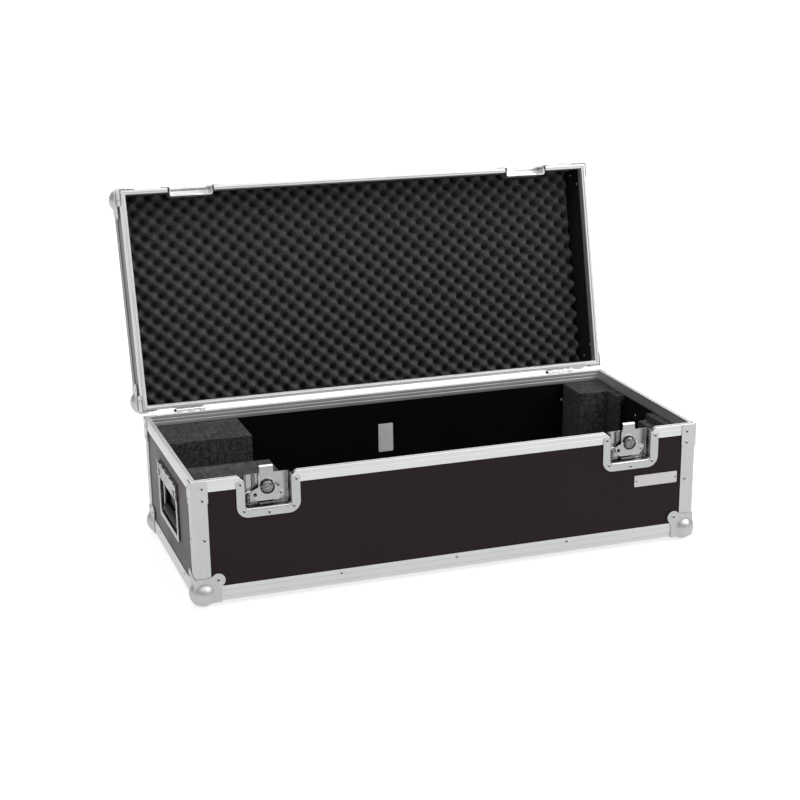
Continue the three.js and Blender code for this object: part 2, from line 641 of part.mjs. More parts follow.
// A flanged dish for a spring handle. The bail's pivots sit behind the strip above its opening,
// and the arms pass through slots in that strip.
function handleDish() {
  const half = HANDLE_HALF;
  const openHalf = HANDLE_OPENING_HALF;
  const innerHalf = openHalf + HANDLE_DISH_MARGIN;
  const openLow = HANDLE_LOW_BAND;
  const openHigh = HANDLE_OPENING_HIGH;
  const corner = [HANDLE_CORNER, HANDLE_CORNER, HANDLE_CORNER, HANDLE_CORNER];
  const innerLow = openLow - HANDLE_DISH_MARGIN;
  const outline = roundedRectangle(-half, half, 0, HANDLE_HEIGHT, corner);
  const flange = slab(outline, FIT - PANEL_OUT, PLATE);
  const wall = block(
    -innerHalf - PLATE, innerHalf + PLATE, innerLow - PLATE, HANDLE_DISH_TOP + PLATE,
    -HANDLE_DISH_DEPTH - PLATE, FIT - PANEL_OUT + PLATE / 2,
  );
  const hollow = block(
    -innerHalf, innerHalf, innerLow, HANDLE_DISH_TOP, -HANDLE_DISH_DEPTH, FIT - PANEL_OUT,
  );
  const window = roundedRectangle(-openHalf, openHalf, openLow, openHigh, corner);
  const opening = slab(window, -HANDLE_DISH_DEPTH / 2, OVERRUN);
  const slots = [-1, 1].map((side) => {
    const near = side * (BAIL_ARM_INNER - BAIL_SLOT_PLAY);
    const far = side * (BAIL_ARM_INNER + BAIL_ARM_WIDTH + BAIL_SLOT_PLAY);
    return block(
      Math.min(near, far), Math.max(near, far), openHigh - HANDLE_CORNER,
      BAIL_PIVOT_HEIGHT + BAIL_SLOT_ABOVE_PIVOT, FIT - PANEL_OUT - PLATE, OVERRUN,
    );
  });
  const pivots = barAlongX(-half, half, BAIL_PIVOT_HEIGHT, -BAIL_PIVOT_BACK, BAIL_STUB_RADIUS + FIT);
  return cut(join(flange, wall), hollow, opening, ...slots, pivots);
}

// The bail: two flat arms from their pivots down to the rod that the grip sleeves.
function handleBail() {
  const stubEnd = HANDLE_OPENING_HALF + HANDLE_DISH_MARGIN + PLATE;
  const armOuter = BAIL_ARM_INNER + BAIL_ARM_WIDTH;
  const arm = new THREE.Shape();
  arm.absarc(BAIL_PIVOT_HEIGHT, -BAIL_PIVOT_BACK, BAIL_ARM_THICK / 2, -Math.PI / 2, Math.PI / 2);
  arm.absarc(ROD_HEIGHT, -BAIL_PIVOT_BACK, BAIL_ARM_THICK / 2, Math.PI / 2, Math.PI * 1.5);
  arm.closePath();
  const strap = new THREE.ExtrudeGeometry(arm, {
    depth: BAIL_ARM_WIDTH, bevelEnabled: false, curveSegments: CURVE_STEPS,
  });
  strap.rotateX(Math.PI / 2).rotateZ(Math.PI / 2);
  const arms = [-armOuter, BAIL_ARM_INNER].map((x) => solid(strap.clone().translate(x, 0, 0)));
  const stubs = [[-stubEnd, -BAIL_ARM_INNER], [BAIL_ARM_INNER, stubEnd]].map(([a, b]) =>
    barAlongX(a, b, BAIL_PIVOT_HEIGHT, -BAIL_PIVOT_BACK, BAIL_STUB_RADIUS));
  const rodEnd = armOuter - ROD_RADIUS;
  const rod = barAlongX(-rodEnd, rodEnd, ROD_HEIGHT, -BAIL_PIVOT_BACK, ROD_RADIUS);
  return join(...arms, ...stubs, rod);
}

// The rubber grip on the bail's rod.
function handleGrip() {
  const half = BAIL_ARM_INNER - GRIP_END_GAP;
  return cut(
    barAlongX(-half, half, ROD_HEIGHT, -BAIL_PIVOT_BACK, GRIP_RADIUS, HUB_SIDES),
    barAlongX(-half - OVERRUN, half + OVERRUN, ROD_HEIGHT, -BAIL_PIVOT_BACK, ROD_RADIUS + FIT),
  );
}

// One leaf of a hinge with its share of the knuckles. Direction -1 hangs it on the base, +1
// stands it on the lid.
function hingeLeaf(direction) {
  const half = HINGE_WIDTH / 2;
  const front = PLATE_OUT + FIT;
  const relief = HINGE_HEIGHT + direction * (KNUCKLE_RADIUS + KNUCKLE_RELIEF);
  const end = HINGE_HEIGHT + direction * HINGE_LEAF;
  const padStart = BASE_HEIGHT + direction * (RIM_LEAF + FIT);
  const span = (a, b) => [Math.min(a, b), Math.max(a, b)];
  const plate = block(-half, half, ...span(relief, end), FIT, front);
  const pad = block(-half, half, ...span(padStart, end), FIT - PANEL_OUT, front);
  const pitch = HINGE_WIDTH / KNUCKLES;
  const knuckles = [];
  for (let k = 0; k < KNUCKLES; k += 1) {
    const own = direction < 0 ? k % 2 === 0 : k % 2 === 1;
    if (own) {
      const start = -half + k * pitch + (k > 0 ? KNUCKLE_GAP / 2 : 0);
      const stop = -half + (k + 1) * pitch - (k < KNUCKLES - 1 ? KNUCKLE_GAP / 2 : 0);
      knuckles.push(barAlongX(start, stop, HINGE_HEIGHT, HINGE_BEHIND, KNUCKLE_RADIUS, HUB_SIDES));
      knuckles.push(block(start, stop, ...span(HINGE_HEIGHT, relief + direction * PLATE), FIT, front));
    }
  }
  const bore = barAlongX(-half - OVERRUN, half + OVERRUN, HINGE_HEIGHT, HINGE_BEHIND, PIN_RADIUS + FIT);
  return cut(join(plate, pad, ...knuckles), bore);
}

// The hinge pin with a head at each end.
function hingePin() {
  const half = HINGE_WIDTH / 2 + FIT;
  return join(
    barAlongX(-half - PIN_HEAD, half + PIN_HEAD, HINGE_HEIGHT, HINGE_BEHIND, PIN_RADIUS),
    barAlongX(-half - PIN_HEAD, -half, HINGE_HEIGHT, HINGE_BEHIND, PIN_HEAD_RADIUS),
    barAlongX(half, half + PIN_HEAD, HINGE_HEIGHT, HINGE_BEHIND, PIN_HEAD_RADIUS),
  );
}

// The egg-crate panel in the lid: hills and hollows take turns on a square grid, and each
// hollow is met by ridges between the hills round it. Its flat back faces the lid's top.
function eggCrate() {
  const x0 = -HALF_LENGTH + INSIDE;
  const x1 = HALF_LENGTH - INSIDE - EGG_RIGHT_MARGIN;
  const y0 = -HALF_DEPTH + INSIDE;
  const y1 = HALF_DEPTH - INSIDE;
  const columns = Math.round((x1 - x0) / (EGG_PITCH_LENGTH / 2));
  const rows = Math.round((y1 - y0) / (EGG_PITCH_DEPTH / 2));
  const back = CASE_TOP - INSIDE;
  const positions = [];
  const triangles = [];
  const top = (i, j) => j * (columns + 1) + i;
  const count = (columns + 1) * (rows + 1);
  for (let j = 0; j <= rows; j += 1) {
    for (let i = 0; i <= columns; i += 1) {
      const rise = (i + j) % 2 === 0 ? EGG_RISE : 0;
      const x = x0 + ((x1 - x0) * i) / columns;
      const y = y0 + ((y1 - y0) * j) / rows;
      positions.push(x, y, back - EGG_BACKING - rise);
    }
  }
  for (let j = 0; j < rows; j += 1) {
    for (let i = 0; i < columns; i += 1) {
      const [a, b, c, d] = [top(i, j), top(i + 1, j), top(i + 1, j + 1), top(i, j + 1)];
      if ((i + j) % 2 === 0) triangles.push(a, b, c, a, c, d);
      else triangles.push(a, b, d, b, c, d);
    }
  }
  const rimLoop = [];
  for (let i = 0; i < columns; i += 1) rimLoop.push(top(i, 0));
  for (let j = 0; j < rows; j += 1) rimLoop.push(top(columns, j));
  for (let i = columns; i > 0; i -= 1) rimLoop.push(top(i, rows));
  for (let j = rows; j > 0; j -= 1) rimLoop.push(top(0, j));
  for (const i of rimLoop) positions.push(positions[3 * i], positions[3 * i + 1], back);
  const centre = count + rimLoop.length;
  positions.push((x0 + x1) / 2, (y0 + y1) / 2, back);
  rimLoop.forEach((a, k) => {
    const next = (k + 1) % rimLoop.length;
    const [b, c, d] = [rimLoop[next], count + next, count + k];
    triangles.push(a, c, b, a, d, c, d, centre, c);
  });
  return facingOut(positions, triangles);
}

// Panels

const flightCase = new THREE.Group();
const standing = new THREE.Group();
flightCase.add(standing);

const latchPlaces = { left: -HALF_LENGTH + LATCH_FROM_END, right: HALF_LENGTH - LATCH_FROM_END };
const hingePlaces = { left: -HALF_LENGTH + HINGE_FROM_END, right: HALF_LENGTH - HINGE_FROM_END };
const dishHalf = LATCH_OPENING_HALF + PLATE + FIT;
const dishBack = DISH_DEPTH + CHANNEL_DEPTH + PLATE + FIT;
const dishLow = BASE_HEIGHT - LATCH_DROP + LATCH_BAND - PLATE - FIT;
const keeperHigh = BASE_HEIGHT + KEEPER_HEIGHT - LATCH_BAND + PLATE + FIT;
const handleHalf = HANDLE_OPENING_HALF + HANDLE_DISH_MARGIN + PLATE + FIT;
const wallTop = BASE_HEIGHT - RIM_WEB - FIT;

// The hole in a front panel or block that clears one latch's dish.
function dishHole(x, z0, z1) {
  return block(x - dishHalf, x + dishHalf, -HALF_DEPTH - OVERRUN, -HALF_DEPTH + dishBack, z0, z1);
}

function handleHole(side) {
  const near = side * (HALF_LENGTH - OVERRUN);
  const far = side * (HALF_LENGTH + OVERRUN);
  return block(
    Math.min(near, far), Math.max(near, far), -handleHalf, handleHalf,
    HANDLE_LOW + HANDLE_LOW_BAND - HANDLE_DISH_MARGIN - PLATE - FIT,
    HANDLE_LOW + HANDLE_DISH_TOP + PLATE + FIT,
  );
}

const longHalf = HALF_LENGTH - PANEL_OUT;
const deepHalf = HALF_DEPTH - INSIDE;
const floorPanel = block(
  -HALF_LENGTH + INSIDE, HALF_LENGTH - INSIDE, -deepHalf, deepHalf, PANEL_OUT, PANEL_IN,
);
const frontPanel = cut(
  block(-longHalf, longHalf, -HALF_DEPTH + PANEL_OUT, -HALF_DEPTH + PANEL_IN, PANEL_OUT, wallTop),
  dishHole(latchPlaces.left, dishLow, BASE_HEIGHT),
  dishHole(latchPlaces.right, dishLow, BASE_HEIGHT),
);
const backPanel = block(
  -longHalf, longHalf, HALF_DEPTH - PANEL_IN, HALF_DEPTH - PANEL_OUT, PANEL_OUT, wallTop,
);
const leftPanel = cut(
  block(-longHalf, -HALF_LENGTH + PANEL_IN, -deepHalf, deepHalf, PANEL_OUT, wallTop), handleHole(-1),
);
const rightPanel = cut(
  block(HALF_LENGTH - PANEL_IN, longHalf, -deepHalf, deepHalf, PANEL_OUT, wallTop), handleHole(1),
);
piece("floor_panel", geometryOf(floorPanel), "laminate", standing);
piece("front_panel", geometryOf(frontPanel), "laminate", standing);
piece("back_panel", geometryOf(backPanel), "laminate", standing);
piece("left_end_panel", geometryOf(leftPanel), "laminate", standing);
piece("right_end_panel", geometryOf(rightPanel), "laminate", standing);

// Base angles and closing rims

const bottomEdges = {
  front: [mitred("frontLeft", "x"), mitred("frontRight", "x")],
  back: [mitred("backLeft", "x"), mitred("backRight", "x")],
  left: [mitred("frontLeft", "y"), mitred("backLeft", "y")],
  right: [mitred("frontRight", "y"), mitred("backRight", "y")],
};
for (const [side, stations] of Object.entries(bottomEdges)) {
  piece(`bottom_edge_${side}`, geometryOf(sweep(edgeProfile(0, 1), stations)), "extrusion", standing);
}

// A wedge that takes the top off a rim's end beside a latch. Side +1 is an end that faces +x.
function rimChamfer(x, side) {
  const shape = new THREE.Shape();
  shape.moveTo(x - side * RIM_CHAMFER_LENGTH, BASE_HEIGHT);
  shape.lineTo(x, BASE_HEIGHT - RIM_CHAMFER_HEIGHT);
  shape.lineTo(x + side * OVERRUN, BASE_HEIGHT - RIM_CHAMFER_HEIGHT);
  shape.lineTo(x + side * OVERRUN, BASE_HEIGHT + OVERRUN);
  shape.lineTo(x - side * RIM_CHAMFER_LENGTH, BASE_HEIGHT + OVERRUN);
  shape.closePath();
  const wedge = new THREE.ExtrudeGeometry(shape, { depth: RIM_THICK + 2 * OVERRUN, bevelEnabled: false });
  wedge.rotateX(Math.PI / 2).translate(0, -HALF_DEPTH + RIM_THICK + OVERRUN, 0);
  return solid(wedge);
}

const rimStops = {
  leftOuter: latchPlaces.left - dishHalf,
  leftInner: latchPlaces.left + dishHalf,
  rightInner: latchPlaces.right - dishHalf,
  rightOuter: latchPlaces.right + dishHalf,
};
const baseRims = {
  left: cut(
    sweep(baseRimProfile(), [
      frontEnd(rimStops.leftOuter), CORNERS.frontLeft, mitred("backLeft", "y"),
    ]),
    rimChamfer(rimStops.leftOuter, 1),
  ),
  right: cut(
    sweep(baseRimProfile(), [
      frontEnd(rimStops.rightOuter), CORNERS.frontRight, mitred("backRight", "y"),
    ]),
    rimChamfer(rimStops.rightOuter, -1),
  ),
  front: cut(
    sweep(baseRimProfile(), [frontEnd(rimStops.leftInner), frontEnd(rimStops.rightInner)]),
    rimChamfer(rimStops.leftInner, -1),
    rimChamfer(rimStops.rightInner, 1),
  ),
  back: sweep(baseRimProfile(), [mitred("backLeft", "x"), mitred("backRight", "x")]),
};
for (const [side, rim] of Object.entries(baseRims)) {
  piece(`base_rim_${side}`, geometryOf(rim), "extrusion", standing);
}

const cornerNames = {
  frontLeft: "front_left", frontRight: "front_right", backRight: "back_right", backLeft: "back_left",
};
const uprightTop = BASE_HEIGHT - RIM_LEAF - FIT;
const baseUpright = geometryOf(bracedUpright(
  EDGE_LEAF + FIT, uprightTop, BASE_HEIGHT - BRACE_LENGTH, BASE_HEIGHT - RIM_NOSE,
  BASE_HEIGHT - BRACE_LENGTH, uprightTop,
));
const ball = geometryOf(ballCorner());
for (const [corner, name] of Object.entries(cornerNames)) {
  const frame = cornerFrame(corner, standing);
  piece(`corner_edge_${name}`, baseUpright.clone(), "extrusion", frame);
  piece(`ball_corner_${name}`, ball.clone(), "steel", frame);
}

// Latches and handles

const front = sideFrame(0, HALF_DEPTH, standing);
const dishGeometry = geometryOf(baseDish());
const hubGeometry = geometryOf(latchHub());
const wingGeometry = geometryOf(latchWing());
const hookGeometry = geometryOf(latchHook());
for (const [side, x] of Object.entries(latchPlaces)) {
  piece(`${side}_latch_dish`, dishGeometry.clone(), "steel", front).position.x = x;
  const moving = new THREE.Group();
  moving.position.set(x, HUB_HEIGHT, 0);
  front.add(moving);
  piece(`${side}_latch_hub`, hubGeometry.clone(), "chrome", moving);
  piece(`${side}_latch_wing`, wingGeometry.clone(), "steel", moving);
  piece(`${side}_latch_hook`, hookGeometry.clone(), "steel", moving);
}

const ends = { left: -Math.PI / 2, right: Math.PI / 2 };
const handleParts = {
  dish: [handleDish(), "steel"],
  bail: [handleBail(), "steel"],
  grip: [handleGrip(), "rubber"],
};
for (const [side, turn] of Object.entries(ends)) {
  const end = sideFrame(turn, HALF_LENGTH, standing);
  for (const [part, [body, finish]] of Object.entries(handleParts)) {
    piece(`${side}_handle_${part}`, geometryOf(body), finish, end).position.y = HANDLE_LOW;
  }
}

// Hinges' fixed halves

const back = sideFrame(Math.PI, HALF_DEPTH, standing);
for (const [side, x] of Object.entries(hingePlaces)) {
  piece(`${side}_hinge_base_leaf`, geometryOf(hingeLeaf(-1)), "steel", back).position.x = -x;
  piece(`${side}_hinge_pin`, geometryOf(hingePin()), "steel", back).position.x = -x;
}

// Foam blocks in the base

const foamLow = INSIDE;
const foamTop = BASE_HEIGHT - FOAM_TOP_DROP;
const leftWall = -HALF_LENGTH + INSIDE;
const rightWall = HALF_LENGTH - INSIDE;
const frontWall = -HALF_DEPTH + INSIDE;
const backWall = HALF_DEPTH - INSIDE;

// A foam block between two walls' lines, as tall as the others.
function foamBlock(x0, x1, y0, y1, top = foamTop) {
  return block(x0, x1, y0, y1, foamLow, top);
}

// A clearance for what reaches into the case at a latch or a handle.
const latchRelief = Object.fromEntries(Object.entries(latchPlaces).map(([side, x]) => [
  side, block(
    x - dishHalf - FOAM_CLEARANCE, x + dishHalf + FOAM_CLEARANCE, -HALF_DEPTH - OVERRUN,
    -HALF_DEPTH + dishBack + FOAM_CLEARANCE, dishLow - FOAM_CLEARANCE, BASE_HEIGHT,
  ),
]));
const secondStart = leftWall + FOAM_LEFT_BACK_LENGTH + FIT;
const sheetStart = rightWall - FOAM_RIGHT_SHEET;
const foam = {
  front_left: cut(
    foamBlock(leftWall, leftWall + FOAM_LEFT_FRONT_LENGTH, frontWall, frontWall + FOAM_LEFT_FRONT_DEPTH),
    latchRelief.left, handleHole(-1),
  ),
  back_left: cut(
    foamBlock(leftWall, leftWall + FOAM_LEFT_BACK_LENGTH, backWall - FOAM_LEFT_BACK_DEPTH, backWall),
    handleHole(-1),
  ),
  back_left_second: foamBlock(
    secondStart, secondStart + FOAM_LEFT_BACK_SECOND, backWall - FOAM_LEFT_BACK_DEPTH, backWall,
  ),
  back_right_sheet: cut(
    foamBlock(sheetStart, rightWall, backWall - FOAM_RIGHT_SHEET_DEPTH, backWall), handleHole(1),
  ),
  back_right: foamBlock(
    sheetStart - FIT - FOAM_RIGHT_BLOCK_LENGTH, sheetStart - FIT,
    backWall - FOAM_RIGHT_BLOCK_DEPTH, backWall,
  ),
  front_right: cut(
    join(
      foamBlock(sheetStart, rightWall, frontWall, frontWall + FOAM_RIGHT_FRONT_DEPTH),
      foamBlock(
        sheetStart - FOAM_STEP_LENGTH, sheetStart + FIT, frontWall, frontWall + FOAM_RIGHT_FRONT_DEPTH,
        foamTop - FOAM_STEP_DROP,
      ),
    ),
    handleHole(1),
  ),
};
for (const [place, body] of Object.entries(foam)) {
  piece(`foam_${place}`, geometryOf(body), "foam", standing);
}

// Lid, modelled closed and turned back about its hinges

const lidPivot = new THREE.Group();
lidPivot.position.set(0, HALF_DEPTH + HINGE_BEHIND, HINGE_HEIGHT);
lidPivot.rotation.x = -THREE.MathUtils.degToRad(LID_OPEN_DEGREES);
const lid = new THREE.Group();
lid.position.copy(lidPivot.position).negate();
lidPivot.add(lid);
standing.add(lidPivot);

const lidWallLow = BASE_HEIGHT + LIP_RISE + CLOSED_GAP + RIM_WEB + FIT;
const around = [CORNERS.frontLeft, CORNERS.frontRight, CORNERS.backRight, CORNERS.backLeft];
const wallProfile = [
  [PANEL_OUT, lidWallLow], [PANEL_IN, lidWallLow],
  [PANEL_IN, CASE_TOP - PANEL_OUT], [PANEL_OUT, CASE_TOP - PANEL_OUT],
];
const lidWalls = cut(
  sweep(wallProfile, around, true),
  dishHole(latchPlaces.left, BASE_HEIGHT, keeperHigh),
  dishHole(latchPlaces.right, BASE_HEIGHT, keeperHigh),
);
const lidTop = block(
  -HALF_LENGTH + INSIDE, HALF_LENGTH - INSIDE, -deepHalf, deepHalf,
  CASE_TOP - PANEL_IN, CASE_TOP - PANEL_OUT,
);
piece("lid_walls", geometryOf(lidWalls), "laminate", lid);
piece("lid_top_panel", geometryOf(lidTop), "laminate", lid);

const uprightLow = BASE_HEIGHT + RIM_LEAF + FIT;
const lidUpright = geometryOf(bracedUpright(
  uprightLow, CASE_TOP - EDGE_LEAF + SKIN, BASE_HEIGHT + CLOSED_GAP + RIM_NOSE,
  BASE_HEIGHT + LID_BRACE_LENGTH, uprightLow, BASE_HEIGHT + LID_BRACE_LENGTH,
));

// A copy of a solid's geometry, moved as the corner it stands at.
function atCorner(geometry, corner) {
  const frame = cornerFrame(corner, new THREE.Group());
  frame.updateMatrixWorld(true);
  return solid(geometry.clone().applyMatrix4(frame.matrixWorld));
}

const lidEdges = join(
  sweep(edgeProfile(CASE_TOP, -1), around, true),
  ...Object.keys(cornerNames).map((corner) => atCorner(lidUpright, corner)),
);
piece("lid_edge_frame", geometryOf(lidEdges), "extrusion", lid);

const lidRim = sweep(lidRimProfile(), [
  frontEnd(rimStops.leftOuter), CORNERS.frontLeft, CORNERS.backLeft,
  CORNERS.backRight, CORNERS.frontRight, frontEnd(rimStops.rightOuter),
]);
const lidRimFront = sweep(lidRimProfile(), [
  frontEnd(rimStops.leftInner), frontEnd(rimStops.rightInner),
]);
piece("lid_rim_frame", geometryOf(lidRim), "extrusion", lid);
piece("lid_rim_front", geometryOf(lidRimFront), "extrusion", lid);

// Turned over about the x axis, the corner that stood front left stands back left.
const upsideDown = new THREE.Group();
upsideDown.position.z = CASE_TOP;
upsideDown.rotation.x = Math.PI;
lid.add(upsideDown);
const turnedNames = {
  frontLeft: "back_left", frontRight: "back_right", backRight: "front_right", backLeft: "front_left",
};
for (const [corner, name] of Object.entries(turnedNames)) {
  piece(`lid_ball_corner_${name}`, ball.clone(), "steel", cornerFrame(corner, upsideDown));
}

const lidFront = sideFrame(0, HALF_DEPTH, lid);
for (const [side, x] of Object.entries(latchPlaces)) {
  piece(`${side}_keeper_dish`, geometryOf(keeperDish()), "steel", lidFront).position.x = x;
}
const lidBack = sideFrame(Math.PI, HALF_DEPTH, lid);
for (const [side, x] of Object.entries(hingePlaces)) {
  piece(`${side}_hinge_lid_leaf`, geometryOf(hingeLeaf(1)), "steel", lidBack).position.x = -x;
}
const keeperReliefs = Object.values(latchPlaces).map((x) => block(
  x - dishHalf - FOAM_CLEARANCE, x + dishHalf + FOAM_CLEARANCE, -HALF_DEPTH - OVERRUN,
  -HALF_DEPTH + dishBack + FOAM_CLEARANCE, BASE_HEIGHT, keeperHigh + FOAM_CLEARANCE,
));
piece("lid_foam", geometryOf(cut(eggCrate(), ...keeperReliefs)), "foam", lid);

// The origin is on the ground, under the middle of the open case.
flightCase.updateMatrixWorld(true);
const bounds = new THREE.Box3().setFromObject(flightCase, true);
const middle = bounds.getCenter(new THREE.Vector3());
standing.position.set(-middle.x, -middle.y, -bounds.min.z);
flightCase.updateMatrixWorld(true);

export default flightCase;
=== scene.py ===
"""Looks of a flight case for stage lights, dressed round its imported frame.

The case's own sizes are in millimetres: x along its length, y from the latches to the hinges and
z up, from the middle of its underside. A Placement carries them into the frame, in metres.
"""

import json
import logging
import math
from dataclasses import dataclass, field
from enum import Enum
from typing import Iterable, Sequence

import bmesh
import bpy
import numpy as np
from mathutils import Matrix, Vector


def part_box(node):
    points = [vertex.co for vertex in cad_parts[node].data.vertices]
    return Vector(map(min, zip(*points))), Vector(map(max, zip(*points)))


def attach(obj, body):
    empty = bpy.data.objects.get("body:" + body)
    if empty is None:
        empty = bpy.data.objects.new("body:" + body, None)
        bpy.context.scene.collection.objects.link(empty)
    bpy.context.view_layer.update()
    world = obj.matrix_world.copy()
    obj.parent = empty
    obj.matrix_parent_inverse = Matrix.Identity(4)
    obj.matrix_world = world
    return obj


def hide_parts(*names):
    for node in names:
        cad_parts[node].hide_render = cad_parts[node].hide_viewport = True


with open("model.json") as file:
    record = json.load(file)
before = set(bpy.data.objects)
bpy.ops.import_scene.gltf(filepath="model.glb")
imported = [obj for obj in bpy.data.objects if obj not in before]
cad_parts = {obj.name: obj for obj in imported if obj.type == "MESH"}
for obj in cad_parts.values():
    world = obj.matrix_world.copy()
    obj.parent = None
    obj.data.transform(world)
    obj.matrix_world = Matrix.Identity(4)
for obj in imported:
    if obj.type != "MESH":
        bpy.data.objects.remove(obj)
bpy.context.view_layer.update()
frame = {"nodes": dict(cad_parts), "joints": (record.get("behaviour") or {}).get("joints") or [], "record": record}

logging.basicConfig(level=logging.INFO, format="%(message)s")
LOG = logging.getLogger("flight_case")

MM = 0.001
TURN = 2.0 * math.pi
Array = np.ndarray
Socket = bpy.types.NodeSocket
Colour = tuple[float, float, float]
Outline = Sequence[Sequence[float]]


class Way(Enum):
    """The way along which drawn metal carries its fine lines."""

    LENGTH = "length"
    HEIGHT = "height"
    SURFACE = "surface"


# Finishes. A pattern's pitch is in metres, and its scale counts cells in a metre.


def shaded(colour: Colour, factor: float) -> Colour:
    """A colour times a factor."""
    return tuple(factor * value for value in colour)


class Nodes:
    """A short way to lay out one material's nodes."""

    first_colour = 6
    second_colour = 7
    mixed_colour = 2

    def __init__(self, name: str) -> None:
        """Starts a material with a Principled shader.

        Args:
            name: The material's name.
        """
        self.material = bpy.data.materials.new(name)
        self.material.use_nodes = True
        self.tree = self.material.node_tree
        self.shader = self.tree.nodes["Principled BSDF"]

    def add(self, kind: str, inputs: dict | None = None, **settings: object) -> bpy.types.Node:
        """Adds a node.

        Args:
            kind: The node's type, without its ShaderNode prefix.
            inputs: Values or sockets for its inputs, by name or number.
            settings: Its own settings.

        Returns:
            The new node.
        """
        node = self.tree.nodes.new(f"ShaderNode{kind}")
        for key, value in settings.items():
            setattr(node, key, value)
        for key, value in (inputs or {}).items():
            self.put(node.inputs[key], value)
        return node

    def put(self, socket: Socket, value: object) -> None:
        """Links a socket to an input, or sets the input's value, with a colour made opaque."""
        if isinstance(value, Socket):
            self.tree.links.new(value, socket)
        else:
            socket.default_value = (*value, 1.0) if socket.type == "RGBA" else value

    def surface(self, **values: object) -> bpy.types.Material:
        """Sets the shader's sockets, with underscores for the spaces in their names.

        Args:
            values: A value or a socket for each.

        Returns:
            The finished material.
        """
        for key, value in values.items():
            self.put(self.shader.inputs[key.replace("_", " ")], value)
        return self.material

    def place(self, scale: float | Sequence[float], way: Way = Way.LENGTH, tilt: float = 0.0) -> Socket:
        """Gives coordinates in metres times a scale.

        Args:
            scale: One factor, or one along each axis.
            way: SURFACE reads the piece's own map, any other choice its Object coordinates.
            tilt: A turn about x before the scale, in radians.

        Returns:
            The socket that holds the coordinates.
        """
        source = self.add("TexCoord").outputs["UV" if way is Way.SURFACE else "Object"]
        turned = self.add("Mapping", {"Vector": source, "Rotation": (tilt, 0.0, 0.0)}, vector_type="TEXTURE")
        scales = (scale, scale, scale) if isinstance(scale, float) else scale
        return self.add("Mapping", {"Vector": turned.outputs[0], "Scale": scales}).outputs[0]

    def noise(self, where: Socket, detail: float = 2.0, roughness: float = 0.5, scale: float = 1.0) -> Socket:
        """A noise field's value at some coordinates."""
        inputs = {"Vector": where, "Scale": scale, "Detail": detail, "Roughness": roughness}
        return self.add("TexNoise", inputs).outputs[0]

    def field(self, scale: float | Sequence[float], detail: float = 2.0, roughness: float = 0.5) -> Socket:
        """A noise field over the Object coordinates times a scale."""
        return self.noise(self.place(scale), detail, roughness)

    def ramp(self, value: Socket, low: float, high: float, start: float = 0.0, end: float = 1.0) -> Socket:
        """Carries a value from one range to another and holds it there."""
        inputs = {"Value": value, "From Min": start, "From Max": end, "To Min": low, "To Max": high}
        return self.add("MapRange", inputs).outputs[0]

    def joint(self, operation: str, *values: Socket | float) -> Socket:
        """Joins values in turn by one of the Math node's operations."""
        whole = values[0]
        for value in values[1:]:
            whole = self.add("Math", {0: whole, 1: value}, operation=operation).outputs[0]
        return whole

    def total(self, *values: Socket | float) -> Socket:
        """Adds values up."""
        return self.joint("ADD", *values)

    def mixed(self, factor: Socket | float, first: object, second: object, blend: str = "MIX") -> Socket:
        """Mixes two colours, each given by its value or its socket."""
        inputs = {"Factor": factor, self.first_colour: first, self.second_colour: second}
        return self.add("Mix", inputs, data_type="RGBA", blend_type=blend).outputs[self.mixed_colour]

    def darkened(self, colour: Socket, factor: Socket) -> Socket:
        """A colour times a factor."""
        grey = self.add("CombineColor", {0: factor, 1: factor, 2: factor}).outputs[0]
        return self.mixed(1.0, colour, grey, "MULTIPLY")

    def bump(self, height: Socket, distance: float, strength: float, under: Socket | None = None) -> Socket:
        """A bump of some height in metres, laid over another one if it is given."""
        inputs = {"Height": height, "Distance": distance, "Strength": strength}
        if under is not None:
            inputs["Normal"] = under
        return self.add("Bump", inputs).outputs[0]


@dataclass(frozen=True)
class DrawnAluminium:
    """Extruded aluminium: fine lines along it, faint stains and light handling marks."""

    name: str
    way: Way
    colour: Colour = (0.59, 0.592, 0.598)
    roughness: float = 0.4
    # Below one, edge dims the reflections at grazing angles. The lid's ring and uprights use it for painted shade.
    edge: float = 1.0
    tilt: float = 0.0
    line_pitch: float = 0.0009
    line_stretch: float = 0.012
    stain_scale: float = 14.0
    mark_scale: float = 260.0

    def material(self) -> bpy.types.Material:
        """Builds the material."""
        nodes = Nodes(self.name)
        across = 1.0 / self.line_pitch
        along = across * self.line_stretch
        scales = {
            Way.LENGTH: (along, across, across),
            Way.HEIGHT: (across, across, along),
            Way.SURFACE: (along, across, 1.0),
        }
        lines = nodes.noise(nodes.place(scales[self.way], self.way, self.tilt), 3.0, 0.6)
        stains = nodes.field(self.stain_scale, 4.0, 0.55)
        marks = nodes.ramp(nodes.field(self.mark_scale), 0.0, 1.0, 0.62, 0.72)
        rough = nodes.total(
            nodes.ramp(lines, -0.06, 0.08), nodes.ramp(stains, -0.05, 0.05), nodes.ramp(marks, 0.0, 0.07),
            self.roughness,
        )
        return nodes.surface(
            Base_Color=nodes.mixed(
                nodes.ramp(stains, 0.25, 1.0, 0.3, 0.7), shaded(self.colour, 0.93), self.colour,
            ),
            Metallic=1.0, Roughness=rough, Normal=nodes.bump(lines, 0.00012, 0.9),
            Specular_Tint=(self.edge, self.edge, self.edge),
        )


